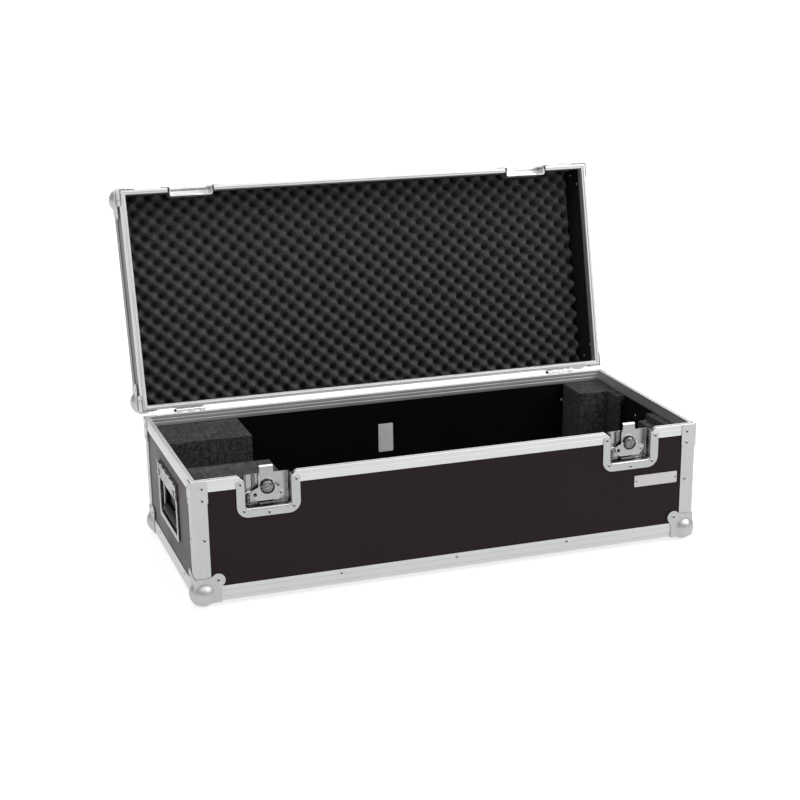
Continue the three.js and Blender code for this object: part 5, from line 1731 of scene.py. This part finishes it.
@dataclass
class Latch:
    """A butterfly latch: its dish in the base, hub, wing and hook, and the keeper dish in the lid.

    The profiles are points about each turned piece's own axis: the radius and the place along the axis.
    """

    rivets: Rivets
    side: str
    x: float
    opening_half: float = 42.0
    band: float = 17.0
    low: float = 170.0
    inner_corner: float = 6.0
    outer_corner: float = 21.5
    deep: float = 17.0
    lip: float = 6.0
    sheet: float = 1.2
    out: float = 1.5
    back_play: float = 5.0
    hub_height: float = 205.0
    keeper_end: float = 289.0
    ledge_half: float = 24.0
    ledge_thick: float = 2.4
    pin_back: float = 7.8
    dome: Outline = (
        (0.0, -9.2), (11.0, -9.2), (11.0, -5.8), (10.7, -4.9), (10.0, -4.2), (8.6, -3.6), (8.2, -4.0),
        (7.7, -4.0), (7.3, -3.5), (5.2, -3.15), (2.6, -3.02), (2.1, -3.5), (1.6, -3.7), (0.0, -3.7),
    )
    disc: Outline = ((0.0, -10.0), (12.3, -10.0), (12.5, -9.8), (12.5, -8.8), (12.2, -8.5), (0.0, -8.5))
    cam: Outline = ((0.0, -14.6), (6.2, -14.6), (6.5, -14.3), (6.5, -9.3), (0.0, -9.3))
    cam_throw: float = 3.5
    shaft: Outline = ((0.0, -16.6), (3.4, -16.6), (3.4, -9.5), (0.0, -9.5))
    pin: Outline = ((0.0, -17.0), (1.0, -17.0), (1.2, -16.8), (1.2, 16.8), (1.0, 17.0), (0.0, 17.0))
    boss: Outline = ((0.0, -17.4), (9.5, -17.4), (9.5, -15.6), (8.7, -15.0), (0.0, -15.0))
    keeper_rivets: Outline = ((-51.5, 248.0), (51.5, 248.0), (-45.5, 277.0), (45.5, 277.0), (0.0, 281.0))
    dish_rivets: Outline = ((-51.5, 216.4), (51.5, 216.4), (-46.0, 165.3), (46.0, 165.3), (0.0, 159.2))
    wing_reach: float = 32.0
    wing_drop: float = 25.0
    wing_shoulder: float = 8.6
    wing_pull: tuple[float, float] = (-29.4, -3.5)
    wing_bay: float = 13.6
    wing_front: float = -5.0
    wing_thick: float = 1.6
    wing_hole: tuple[float, float] = (-23.5, -13.0)
    wing_hole_radius: float = 3.6
    wing_curl_start: float = 19.0
    wing_curl_length: float = 6.0
    wing_curl: float = 0.36
    ear: float = 16.7
    ear_radii: tuple[float, float] = (2.35, 1.45)
    ear_half: float = 1.5
    hook_half: float = 15.5
    hook_top: float = 39.0
    hook_bend: float = 4.0
    hook_back: float = -12.6
    hook_front: float = -10.6
    hook_foot: float = -14.0
    hook_shoulder: float = 21.0
    hook_cheek: tuple[float, float] = (2.4, 24.5)
    hook_neck: float = 2.8
    slot_half: float = 11.05
    slot_foot: float = -4.05
    guide_place: tuple[float, float] = (-27.2, -20.4)
    guide_front: float = -12.2
    guide_ends: tuple[float, float] = (197.0, 227.0)
    coil_place: tuple[float, float] = (-35.2, -12.0)
    coil_foot: float = 175.5
    coil_pitch: float = 2.4
    coil_turns: float = 6.5
    coil_radius: float = 3.6
    coil_wire: float = 0.75
    post: Outline = ((0.0, 0.0), (2.0, 0.0), (2.0, 16.5), (0.0, 16.5))
    post_foot: float = 174.2

    def front(self, lid: bool = False) -> Placement:
        """The front face at the latch's middle: x to the right, y up, z outwards."""
        place = CASE.lid() if lid else CASE.base()
        return CASE.side(place, 0.0, CASE.half_depth).moved(self.x)

    def hub_place(self) -> Placement:
        """The front face at the hub's axis."""
        return self.front().moved(0.0, self.hub_height)

    def dish_line(self, spread: float, end: float, near: float, far_side: int) -> Array:
        """The dish's opening as an open line, spread outwards towards its flange's outline.

        Args:
            spread: 0 on the opening, 1 on the outline.
            end: The height at which the line starts and ends.
            near: The height of the opening's closed side.
            far_side: -1 if the closed side is the lower one, 1 if it is the upper one.

        Returns:
            The line's points.
        """
        lines = []
        for amount, radius in ((0.0, self.inner_corner), (self.band, self.outer_corner)):
            half, closed = self.opening_half + amount, near + far_side * amount
            corners = [(-half, end), (-half, closed), (half, closed), (half, end)]
            lines.append(filleted(corners, (0.0, radius, radius, 0.0), 8)[8:-8])
        return lines[0] * (1.0 - spread) + lines[1] * spread

    def flange_section(self) -> Array:
        """The flange's section with the bend into its wall: (n, z), with n outwards from the opening."""
        outline = [(self.band, CASE.fit), (self.band, self.out), (0.0, self.out), (0.0, -self.lip),
                   (self.sheet, -self.lip), (self.sheet, CASE.fit)]
        return without_repeats(filleted(outline, [0.3, 0.7, 3.6, 0.2, 0.2, 2.2], 6))

    def wall_section(self) -> Array:
        """The wall's section, down to its turned-in foot."""
        foot = -self.deep - self.sheet
        outline = [(0.0, -self.lip), (0.0, -self.deep), (-6.0, -self.deep), (-6.0, foot), (self.sheet, foot),
                   (self.sheet, -self.lip)]
        return without_repeats(filleted(outline, [0.1, 2.5, 0.1, 0.1, 3.4, 0.1], 4))

    def dish(self, section: Array, lid: bool) -> Body:
        """A section of the dish, carried round its opening.

        Args:
            section: The (n, z) points.
            lid: True for the keeper's dish.

        Returns:
            The body.
        """
        far_side = 1 if lid else -1
        near = self.keeper_end - self.band if lid else self.low
        flange_end = CASE.base_height + far_side * 9.4
        wall_end = CASE.base_height + far_side * (1.1 if lid else 3.0)
        lines = []
        for n, z in section:
            end = flange_end if n > self.sheet + 0.4 else wall_end
            line = self.dish_line(n / self.band, end, near, far_side)
            lines.append(np.hstack([line, np.full((len(line), 1), z)]))
        return ringed(np.stack(lines, axis=1))

    def back_plate(self, lid: bool) -> Body:
        """The dish's back, which ends short of the meeting face in either half.

        Args:
            lid: True for the keeper's dish.

        Returns:
            The plate.
        """
        half = self.opening_half - self.back_play
        if lid:
            low, high = CASE.base_height + 0.7, self.keeper_end - self.band - self.back_play
        else:
            low, high = self.low + self.back_play, CASE.base_height - 3.0
        outline = rectangle(-half, half, low, high, 1.5)
        return plate([outline], 0.1 - self.deep - self.sheet, -self.deep - 0.1, 0.2)

    def keeper(self) -> None:
        """The keeper dish in the lid with the ledge that the hook pulls on."""
        node, place = f"{self.side}_keeper_dish", self.front(True)
        low = CASE.base_height + 0.8
        outline = rectangle(-self.ledge_half, self.ledge_half, -17.6, -14.95, 0.6)
        ledge = plate([outline], low, low + self.ledge_thick, 0.5).along_y()
        pressed = [self.dish(self.wall_section(), True), self.back_plate(True), ledge]
        build(f"{node}_flange", self.dish(self.flange_section(), True), place, ZINC, "lid", [node])
        # The wall, back and ledge take the lighter copy of the zinc, a painted highlight.
        build(f"{node}_pressed", pressed, place, LIT_KEEPER, "lid")
        self.rivets.add("lid", place, self.keeper_rivets, self.out)

    def base_dish(self) -> None:
        """The base's dish with its hub mount, and its five rivets."""
        node, place = f"{self.side}_latch_dish", self.front()
        boss = revolved(self.boss, 32).moved(0.0, self.hub_height)
        build(f"{node}_flange", self.dish(self.flange_section(), False), place, ZINC, "base", [node])
        # The wall takes the dark copy of the flange's zinc, painted shade in the recess.
        build(f"{node}_wall", self.dish(self.wall_section(), False), place, SHADED_PAN, "base")
        # The back takes the hook's darker steel, partly painted shade in the recess.
        build(f"{node}_back", [self.back_plate(False), boss], place, HOOK_AND_BACK_SHADE, "base")
        self.rivets.add("base", place, self.dish_rivets, self.out)

    def spring(self) -> None:
        """The fittings left of the hook: a guide channel, a lug, a coil on its post and an arched strip.

        The coil is a helix: a point goes round its axis and climbs by the pitch in each turn.
        """
        place, floor = self.front(), -self.deep
        left, right = self.guide_place
        top, low = self.guide_front, self.guide_front - 1.0
        channel = filleted([(left, floor), (left, top), (right, top), (right, floor), (right - 1.0, floor),
                            (right - 1.0, low), (left + 1.0, low), (left + 1.0, floor)],
                           (0.0, 1.0, 1.0, 0.0, 0.0, 0.4, 0.4, 0.0), 3)
        stations = np.array([[0.0, end, 0.0] for end in self.guide_ends])
        across, up = np.array([1.0, 0.0, 0.0]), np.array([0.0, 0.0, 1.0])
        guide = swept(without_repeats(channel), stations, across, up)
        lug = plate([rectangle(-15.0, 15.0, 171.6, 175.8, 1.0)], -11.0, -8.6, 0.4)
        x, z = self.coil_place
        turns = np.linspace(0.0, self.coil_turns, 160)
        around = self.coil_radius * np.stack([np.cos(TURN * turns), np.sin(TURN * turns)], 1)
        path = np.stack([x + around[:, 0], self.coil_foot + self.coil_pitch * turns, z + around[:, 1]], 1)
        coil = tube(path, self.coil_wire, (0.0, 1.0, 0.0), 8)
        post = revolved(self.post, 16).along_y(x, self.post_foot, z)
        arch = np.vstack([arc(-34.0, 192.5, (8.0, 7.0), 200.0, 20.0, 25),
                          arc(-34.0, 192.5, (6.6, 5.6), 20.0, 200.0, 25)])
        strip = plate([arch], floor, -8.0, 0.3)
        # The guide and lug take the dark copy, painted shade under the wing.
        build(f"{self.side}_latch_guide", [guide, lug], place, SHADED_PAN, "base")
        build(f"{self.side}_latch_spring_arch", strip, place, BRIGHT, "base")
        build(f"{self.side}_latch_spring", [coil, post], place, SPRING, "base")

    def hub(self) -> None:
        """The hub: a dome in a ring, its disc, near black as painted shade in the gap round the dome, the wing's
        cross pin and the cam behind.
        """
        cam = revolved(self.cam, 40).moved(0.0, self.cam_throw)
        pin = revolved(self.pin, 16).along_x(0.0, -self.pin_back)
        parts = [revolved(self.dome, 48), cam, revolved(self.shaft, 24), pin]
        place, body = self.hub_place(), f"{self.side}_hub"
        build(f"{self.side}_latch_hub_turned", parts, place, NICKEL, body,
              [f"{self.side}_latch_hub"])
        # The disc is near black, painted shade in the gap between the dome and the wing.
        build(f"{self.side}_latch_hub_shade_disc", revolved(self.disc, 48), place, RECESS_SHADE, body)

    def wing(self) -> None:
        """The wing: two lobes with holes, cut round the hub, with rolled ears on the cross pin.

        A lobe is an arc about the hub's axis with a quadratic shoulder up to the ear. The lower edge
        curls forward by a square that grows downwards.
        """
        first, last = (180.0 + math.degrees(math.asin(drop / self.wing_reach))
                       for drop in (self.wing_shoulder, self.wing_drop))
        left = arc(0.0, 0.0, self.wing_reach, first, last, 14)
        shoulder = bezier(np.array([[-self.ear, 0.0]]), np.array([self.wing_pull]), left[:1], 10)
        half = np.vstack([shoulder[:-1], left])
        notch = arc(0.0, 0.0, self.wing_bay, 0.0, -180.0, 25)
        outline = without_repeats(np.vstack([half, (half * np.array([-1.0, 1.0]))[::-1], notch]))
        front = self.wing_front
        hole = circle(*self.wing_hole, self.wing_hole_radius)
        sheet = plate([outline, hole], front - self.wing_thick, front, 0.35)
        drop = np.clip((-sheet.points[:, 1] - self.wing_curl_start) / self.wing_curl_length, 0.0, 1.0)
        sheet.points[:, 2] += self.wing_curl * drop ** 2
        rings = [circle(0.0, 0.0, radius, 24) for radius in self.ear_radii]
        middle = self.ear - self.ear_half
        ends = np.array([-self.ear_half, self.ear_half])
        ears = [
            plate(rings, *(side * middle + ends), 0.2).along_x(0.0, -self.pin_back) for side in (-1.0, 1.0)
        ]
        place, body = self.hub_place(), f"{self.side}_wing"
        build(f"{self.side}_latch_wing_stamped", [sheet, *ears], place, WING, body,
              [f"{self.side}_latch_wing"])
        self.rivets.add(body, place, [(-self.wing_hole[0], self.wing_hole[1])], front, 0.9)

    def hook(self) -> None:
        """The hook plate: a tab with rounded shoulders, a slot for the cam and a top bent back as a crown.

        The crown is a quarter ring carried across the tab. It is drawn in a little at both ends.
        """
        half, root = self.hook_half, self.hook_top - self.hook_bend
        back, front = self.hook_back, self.hook_front
        foot, low, neck, (inset, high) = self.hook_foot, self.hook_shoulder, self.hook_neck, self.hook_cheek
        outline = filleted(
            [(-half, foot), (half, foot), (half, low), (half - inset, high), (half - neck, root),
             (neck - half, root), (inset - half, high), (-half, low)],
            (2.0, 2.0, 2.4, 2.0, 0.1, 0.1, 2.0, 2.4), 5)
        slot = rectangle(-self.slot_half, self.slot_half, self.slot_foot, self.slot_half, 4.0)
        sheet = plate([without_repeats(outline), slot], back, front, 0.3)
        inner = self.hook_bend + back - front
        section = np.vstack([arc(root, front - self.hook_bend, self.hook_bend, 90.0, 0.0, 9),
                             arc(root, front - self.hook_bend, inner, 0.0, 90.0, 9)])
        reach = half - np.array([2.85, 3.1, 4.0])
        x = np.concatenate([reach, -reach[::-1]])
        share = 1.0 - 0.12 * np.array([0.9, 0.5, 0.0, 0.0, 0.5, 0.9])
        stations = np.stack([x, root * (1.0 - share), 0.0 * x], 1)
        across = np.stack([0.0 * x, share, 0.0 * x], 1)
        crown = swept(section, stations, across, np.array([0.0, 0.0, 1.0]))
        arch = np.vstack([arc(0.0, 0.0, 16.2, 28.0, 152.0, 31), arc(0.0, 0.0, 14.8, 152.0, 28.0, 31)])
        bends = [plate([arch], front - 0.4, front + 1.0, 0.4), crown]
        place, body = self.hub_place(), f"{self.side}_hook"
        build(f"{self.side}_latch_hook_stamped", sheet, place, HOOK_AND_BACK_SHADE, body,
              [f"{self.side}_latch_hook"])
        # The bends take the lighter steel, a painted highlight on the crown.
        build(f"{self.side}_latch_hook_bends", bends, place, LIT_BENT, body)

    def build(self) -> None:
        """Builds the latch and its keeper."""
        self.base_dish()
        self.spring()
        self.hub()
        self.wing()
        self.hook()
        self.keeper()


@dataclass
class Handle:
    """A sprung handle in a shallow dish: the dish, its spring strip, the bail and the fluted grip."""

    side: str
    turn: float
    rivets: Rivets
    low: float = 70.0
    half: float = 87.5
    height: float = 115.0
    corner: float = 8.0
    opening_half: float = 76.0
    opening_low: float = 10.0
    opening_high: float = 80.0
    depth: float = 13.8
    sheet: float = 1.2
    pivot_height: float = 93.0
    stub: float = 2.5
    stub_end: float = 79.2
    rod_height: float = 22.0
    back: float = 6.0
    arm_inner: float = 64.0
    arm_width: float = 8.0
    arm_thick: float = 5.0
    rod: float = 3.0
    grip: float = 7.3
    grip_half: float = 63.0
    grip_round: float = 2.5
    grip_end_share: float = 0.72
    flutes: int = 14
    flute_depth: float = 0.9
    plate_height: float = 0.9
    plate_thick: float = 1.0
    strip_rise: float = 1.2
    strip_thick: float = 0.8
    strip_wave: float = 35.0
    strip_edge: float = 6.0
    dimple: float = 0.3
    dimple_pitches: tuple[float, float] = (13.0, 11.0)
    slant_pitches: tuple[float, float] = (17.0, 9.0)
    cavity: tuple[float, float, float] = (78.0, 8.0, 106.0)
    cavity_margin: float = 1.5
    slot_play: float = 1.2
    slot_above_pivot: float = 5.0
    plate_rivets: Outline = ((-81.5, 32.0), (-81.5, 60.0), (81.5, 32.0), (81.5, 60.0))

    def place(self) -> Placement:
        """The dish's placement: x along the case's end, y up from its lower edge, z outwards."""
        return CASE.side(CASE.base(), self.turn, CASE.half_length).moved(0.0, self.low)

    def ring(self, corners: Outline, window: tuple[float, float, float],
             radii: float | Sequence[float] = 0.0) -> Body:
        """A section carried round a window, between its outline and the plate's.

        Args:
            corners: The section's corners: the share of the way to the plate's outline, and the height.
            window: The window's half width and its lower and upper edge.
            radii: The corners' fillets.

        Returns:
            The closed ring.
        """
        half, (opening, low, high) = self.half, window
        outer = filleted([(-half, 0), (half, 0), (half, self.height), (-half, self.height)], self.corner, 8)
        inner = filleted([(-opening, low), (opening, low), (opening, high), (-opening, high)], self.corner, 8)
        share, height = without_repeats(filleted(corners, radii, 3)).T
        lines = inner[:, None] + share[None, :, None] * (outer - inner)[:, None]
        heights = np.broadcast_to(height[None, :, None], (*lines.shape[:2], 1))
        points = np.concatenate([lines, heights], axis=2)
        rows, columns = points.shape[:2]
        points = np.vstack([points.reshape(-1, 3), points[0]])
        return Body(points, [grid_faces(rows + 1, columns, around=True)])

    def dish_back(self) -> Body:
        """The dish's back plate."""
        half, low, high = self.cavity
        margin = self.cavity_margin
        outline = rectangle(margin - half, half - margin, low + margin, high - margin, 6.0)
        return plate([outline], 0.05 - self.depth - self.sheet, -self.depth - 0.1, 0.2)

    def spring_strip(self) -> Body:
        """The strip over the pivots: a thin sheet with rows of small dimples and a wavy upper edge.

        Its height is a base, a share of the products of two sine waves, one pair upright and one pair
        slanted, and a third wave that fades in towards the upper edge.
        """
        x, y = np.meshgrid(np.linspace(1.0 - self.half, self.half - 1.0, 181),
                           np.linspace(self.opening_high + 3.0, self.height - 1.5, 33))
        (wide, high), (first, second) = self.dimple_pitches, self.slant_pitches
        upright = np.sin(TURN * x / wide) * np.sin(TURN * (y - y[0, 0]) / high)
        slanted = np.sin(TURN * (x + 1.7 * y) / first) * np.sin(TURN * (x - y) / second)
        edge = np.clip((y - y[-1, 0] + self.strip_edge) / self.strip_edge, 0.0, 1.0)
        wavy = edge * 0.5 * (1.0 + np.sin(TURN * x / self.strip_wave))
        rise = self.plate_height + self.plate_thick + self.strip_rise
        outer = np.stack([x, y, rise + self.dimple * (upright + slanted) + 1.8 * wavy], axis=-1)
        return between(outer, outer - np.array([0.0, 0.0, self.strip_thick]))

    def bail(self) -> Body:
        """The bail: two strap arms on stub pivots and the rod between them."""
        radius, rod_end = self.arm_thick / 2.0, self.arm_inner + self.arm_width
        outline = np.vstack([arc(self.pivot_height, -self.back, radius, 90.0, -90.0, 13),
                             arc(self.rod_height, -self.back, radius, 270.0, 90.0, 13)])
        starts = (-rod_end, self.arm_inner)
        parts = [plate([outline], start, start + self.arm_width, 0.8).along_x() for start in starts]
        spans = ((-self.stub_end, -self.arm_inner, self.pivot_height, self.stub),
                 (self.arm_inner, self.stub_end, self.pivot_height, self.stub),
                 (1.0 - rod_end, rod_end - 1.0, self.rod_height, self.rod))
        for start, stop, height, size in spans:
            bar = revolved([(0.0, start), (size, start), (size, stop), (0.0, stop)], 24)
            parts.append(bar.along_x(height, -self.back))
        return joined(parts)

    def grip_shape(self) -> Body:
        """The grip: its radius falls and rises round it in flutes, and rounds off towards its ends."""
        near_end = 0.92 + 0.04 * np.cos(np.linspace(0.0, 0.5 * math.pi, 7))
        x = np.concatenate([[-1.0], -near_end, [0.0]])
        x = np.unique(np.concatenate([x, -x])) * self.grip_half
        from_end = np.clip((self.grip_half - np.abs(x)) / self.grip_round, 0.0, 1.0)
        least = self.grip_end_share
        swell = least + (1.0 - least) * np.sqrt(1.0 - (1.0 - from_end) ** 2)
        turn = np.linspace(0.0, TURN, self.flutes * 8, endpoint=False)
        flute = self.flute_depth * (0.5 - 0.5 * np.cos(self.flutes * turn)) ** 2
        radius = swell[:, None] * (self.grip - flute[None, :])
        along = np.broadcast_to(x[:, None], radius.shape)
        return ringed(np.stack([
            along, self.rod_height + radius * np.cos(turn), radius * np.sin(turn) - self.back,
        ], axis=-1))

    def slots(self) -> list[tuple[Array, Array]]:
        """The boxes of the two slots that the arms swing out through, in metres."""
        near, far = self.arm_inner - self.slot_play, self.arm_inner + self.arm_width + self.slot_play
        low, high = self.opening_high - self.corner, self.pivot_height + self.slot_above_pivot
        ends = [np.array([[side * near, low, -0.5], [side * far, high, 9.0]]) for side in (-1.0, 1.0)]
        return [tuple(self.place().at(end)) for end in ends]

    def build(self) -> None:
        """Builds the handle."""
        place, node, bail = self.place(), f"{self.side}_handle_dish", f"{self.side}_bail"
        high, deep, foot = self.plate_height, -self.depth, -self.depth - self.sheet
        top = high + self.plate_thick
        window = (self.opening_half, self.opening_low, self.opening_high)
        plate_ring = self.ring(((1.0, high), (1.0, top), (0.05, top), (0.0, top - 0.3), (0.0, 0.0),
                                (0.1, 0.0), (0.1, high)), window, (0.05, 0.1, 0.05, 0.0, 0.0, 0.0, 0.0))
        # A black rubber ring under the plate's edge, painted shade that stands for the shadow in the gap there.
        shade_gasket = self.ring(((0.94, CASE.fit), (0.94, high), (0.1, high), (0.1, CASE.fit)), window)
        wall = self.ring(((0.0, 0.0), (0.0, deep), (-0.35, deep), (-0.35, foot), (0.1, foot), (0.1, 0.0)),
                         self.cavity)
        sheets = [
            build(f"{node}_plate", plate_ring, place, DULL, "base", [node]),
            build(f"{node}_gasket", shade_gasket, place, RUBBER, "base"),
            build(f"{self.side}_handle_spring", self.spring_strip(), place, SPRING, "base",
                  smooth=60.0),
        ]
        for sheet in sheets:
            cut_away(sheet, self.slots())
        # The dish's wall and back are near black, painted shade in the recess.
        build(f"{node}_wall", [wall, self.dish_back()], place, RECESS_SHADE, "base")
        build(f"{self.side}_handle_bail_bent", self.bail(), place, ZINC, bail,
              [f"{self.side}_handle_bail"])
        build(f"{self.side}_handle_grip_fluted", self.grip_shape(), place, RUBBER, bail,
              [f"{self.side}_handle_grip"], smooth=50.0)
        self.rivets.add("base", place, self.plate_rivets, top, 0.75)


@dataclass
class Hinge:
    """A leaf hinge behind the case: two leaves, five knuckles, a headed pin and a plug at its left end."""

    side: str
    x: float
    rivets: Rivets
    height: float = 234.0
    behind: float = 5.0
    width: float = 58.0
    leaf: float = 48.0
    leaf_corner: float = 5.0
    pad_start: float = 24.8
    pad_back: float = -1.2
    pad_front: float = 0.6
    knuckles: int = 5
    knuckle: float = 3.3
    gap: float = 0.4
    relief: float = 0.5
    neck_start: float = 1.6
    pin: float = 1.7
    pin_play: float = 0.3
    head: float = 2.8
    head_thick: float = 1.2
    front: float = 1.8
    plug: Outline = ((0.0, 0.2), (2.9, 0.2), (2.9, 3.8), (2.3, 4.4), (0.0, 4.4))
    spots: Outline = ((-20.0, 15.0), (20.0, 15.0), (-20.0, 39.0), (20.0, 39.0))

    def place(self, lid: bool) -> Placement:
        """The back face's placement at the hinge: x along it, y up from the pin, z outwards."""
        half = CASE.lid() if lid else CASE.base()
        return CASE.side(half, 180.0, CASE.half_depth).moved(-self.x, self.height)

    def leaf_shape(self, direction: int) -> Body:
        """One leaf with a pad under it and its share of the knuckles.

        Args:
            direction: -1 for the base's leaf, which hangs, and 1 for the lid's.

        Returns:
            The leaf.
        """
        half, corner = self.width / 2.0, self.leaf_corner
        near, far = direction * (self.knuckle + self.relief), direction * self.leaf
        pad = direction * self.pad_start
        parts = [
            plate([rectangle(-half, half, *sorted((near, far)), corner)], CASE.fit, self.front, 0.35),
            plate([rectangle(-half, half, *sorted((pad, far)), corner)], self.pad_back, self.pad_front, 0.1),
        ]
        rings = [circle(0.0, 0.0, self.knuckle), circle(0.0, 0.0, self.pin + self.pin_play)]
        neck_ends = sorted((direction * self.neck_start, near + direction * 1.2))
        pitch = self.width / self.knuckles
        for number in range(0 if direction < 0 else 1, self.knuckles, 2):
            start = number * pitch + self.gap / 2.0 - half
            stop = start + pitch - self.gap
            parts.append(plate(rings, start, stop, 0.3).along_x(0.0, self.behind))
            parts.append(plate([rectangle(start, stop, *neck_ends, 0.3)], CASE.fit, self.front, 0.2))
        return joined(parts)

    def pin_shape(self) -> Body:
        """The pin with a domed head at each end."""
        end = -self.width / 2.0 - self.pin_play
        tip = end - self.head_thick
        profile = [(0.0, tip), (self.head - 0.8, tip), (self.head, end - 0.4), (self.head, end),
                   (self.pin, end)]
        whole = profile + [(radius, -height) for radius, height in reversed(profile)]
        return revolved(whole, 24).along_x(0.0, self.behind)

    def build(self) -> None:
        """Builds the hinge with its rivets."""
        for direction, lid, body in ((-1, False, "base"), (1, True, "lid")):
            node, place = f"{self.side}_hinge_{body}_leaf", self.place(lid)
            build(f"{node}_stamped", self.leaf_shape(direction), place, BRIGHT, body, [node])
            self.rivets.add(body, place, [(x, direction * y) for x, y in self.spots], self.front, 0.9)
        node, place = f"{self.side}_hinge_pin", self.place(False)
        build(f"{node}_turned", self.pin_shape(), place, RIVET, "base", [node])
        plug = revolved([(radius, self.width / 2.0 + end) for radius, end in self.plug], 20)
        build(f"{self.side}_hinge_plug", plug.along_x(0.0, self.behind), place, RUBBER, "base")


@dataclass
class BarePlates:
    """The bare badge on the front and the bare label on the inner back wall."""

    rivets: Rivets
    badge: tuple[float, float, float, float] = (370.5, 463.0, 114.4, 137.5)
    badge_rivet: float = 4.0
    label: tuple[float, float, float, float] = (-15.0, 17.0, 102.0, 163.0)

    def build(self) -> None:
        """Builds both plates."""
        panel = 1.2 - CASE.skin - CASE.fit
        front = CASE.side(CASE.base(), 0.0, CASE.half_depth)
        badge = plate([rectangle(*self.badge, 1.5)], panel - 0.9, panel + 0.6, 0.2)
        build("front_badge_bare", badge, front, BADGE, "base")
        left, right, low, high = self.badge
        middle = 0.5 * (low + high)
        spots = [(left + self.badge_rivet, middle), (right - self.badge_rivet, middle)]
        self.rivets.add("base", front, spots, panel + 0.6, 0.55)
        wall = CASE.side(CASE.base(), 0.0, CASE.inside - CASE.half_depth)
        label = plate([rectangle(*self.label, 2.0)], -0.2, 0.35, 0.1)
        build("inner_label_bare", label, wall, LABEL, "base")


@dataclass
class InnerRivets:
    """The few rivet ends that come through the walls inside."""

    rivets: Rivets
    right_wall: Outline = ((-55.5, 166.0), (-26.5, 179.0), (-33.5, 166.0), (18.5, 180.0))
    back_wall: Outline = ((404.0, 173.0), (-404.0, 173.0))
    lid_wall: Outline = ((198.5, 297.0), (177.0, 264.0), (-172.5, 258.0), (-197.5, 294.0))

    def build(self) -> None:
        """Sets them."""
        end, back = CASE.inside - CASE.half_length, CASE.inside - CASE.half_depth
        walls = (("base", CASE.side(CASE.base(), -90.0, end), self.right_wall),
                 ("base", CASE.side(CASE.base(), 0.0, back), self.back_wall),
                 ("lid", CASE.side(CASE.lid(), -90.0, end), self.lid_wall))
        for body, place, spots in walls:
            self.rivets.add(body, place, spots, 0.0, 0.8)


def main() -> None:
    """Builds the studio and the case."""
    Studio().build()
    dress_nodes()
    rivets = Rivets()
    Rails(rivets).build()
    BallCorner(rivets).build()
    EggCrate().build()
    FoamBlocks().build()
    for side, x in (("left", -360.0), ("right", 360.0)):
        Latch(rivets, side, x).build()
    for side, turn in (("left", -90.0), ("right", 90.0)):
        Handle(side, turn, rivets).build()
    for side, x in (("left", -405.0), ("right", 405.0)):
        Hinge(side, x, rivets).build()
    BarePlates(rivets).build()
    InnerRivets(rivets).build()
    rivets.build()


if __name__ == "__main__":
    main()
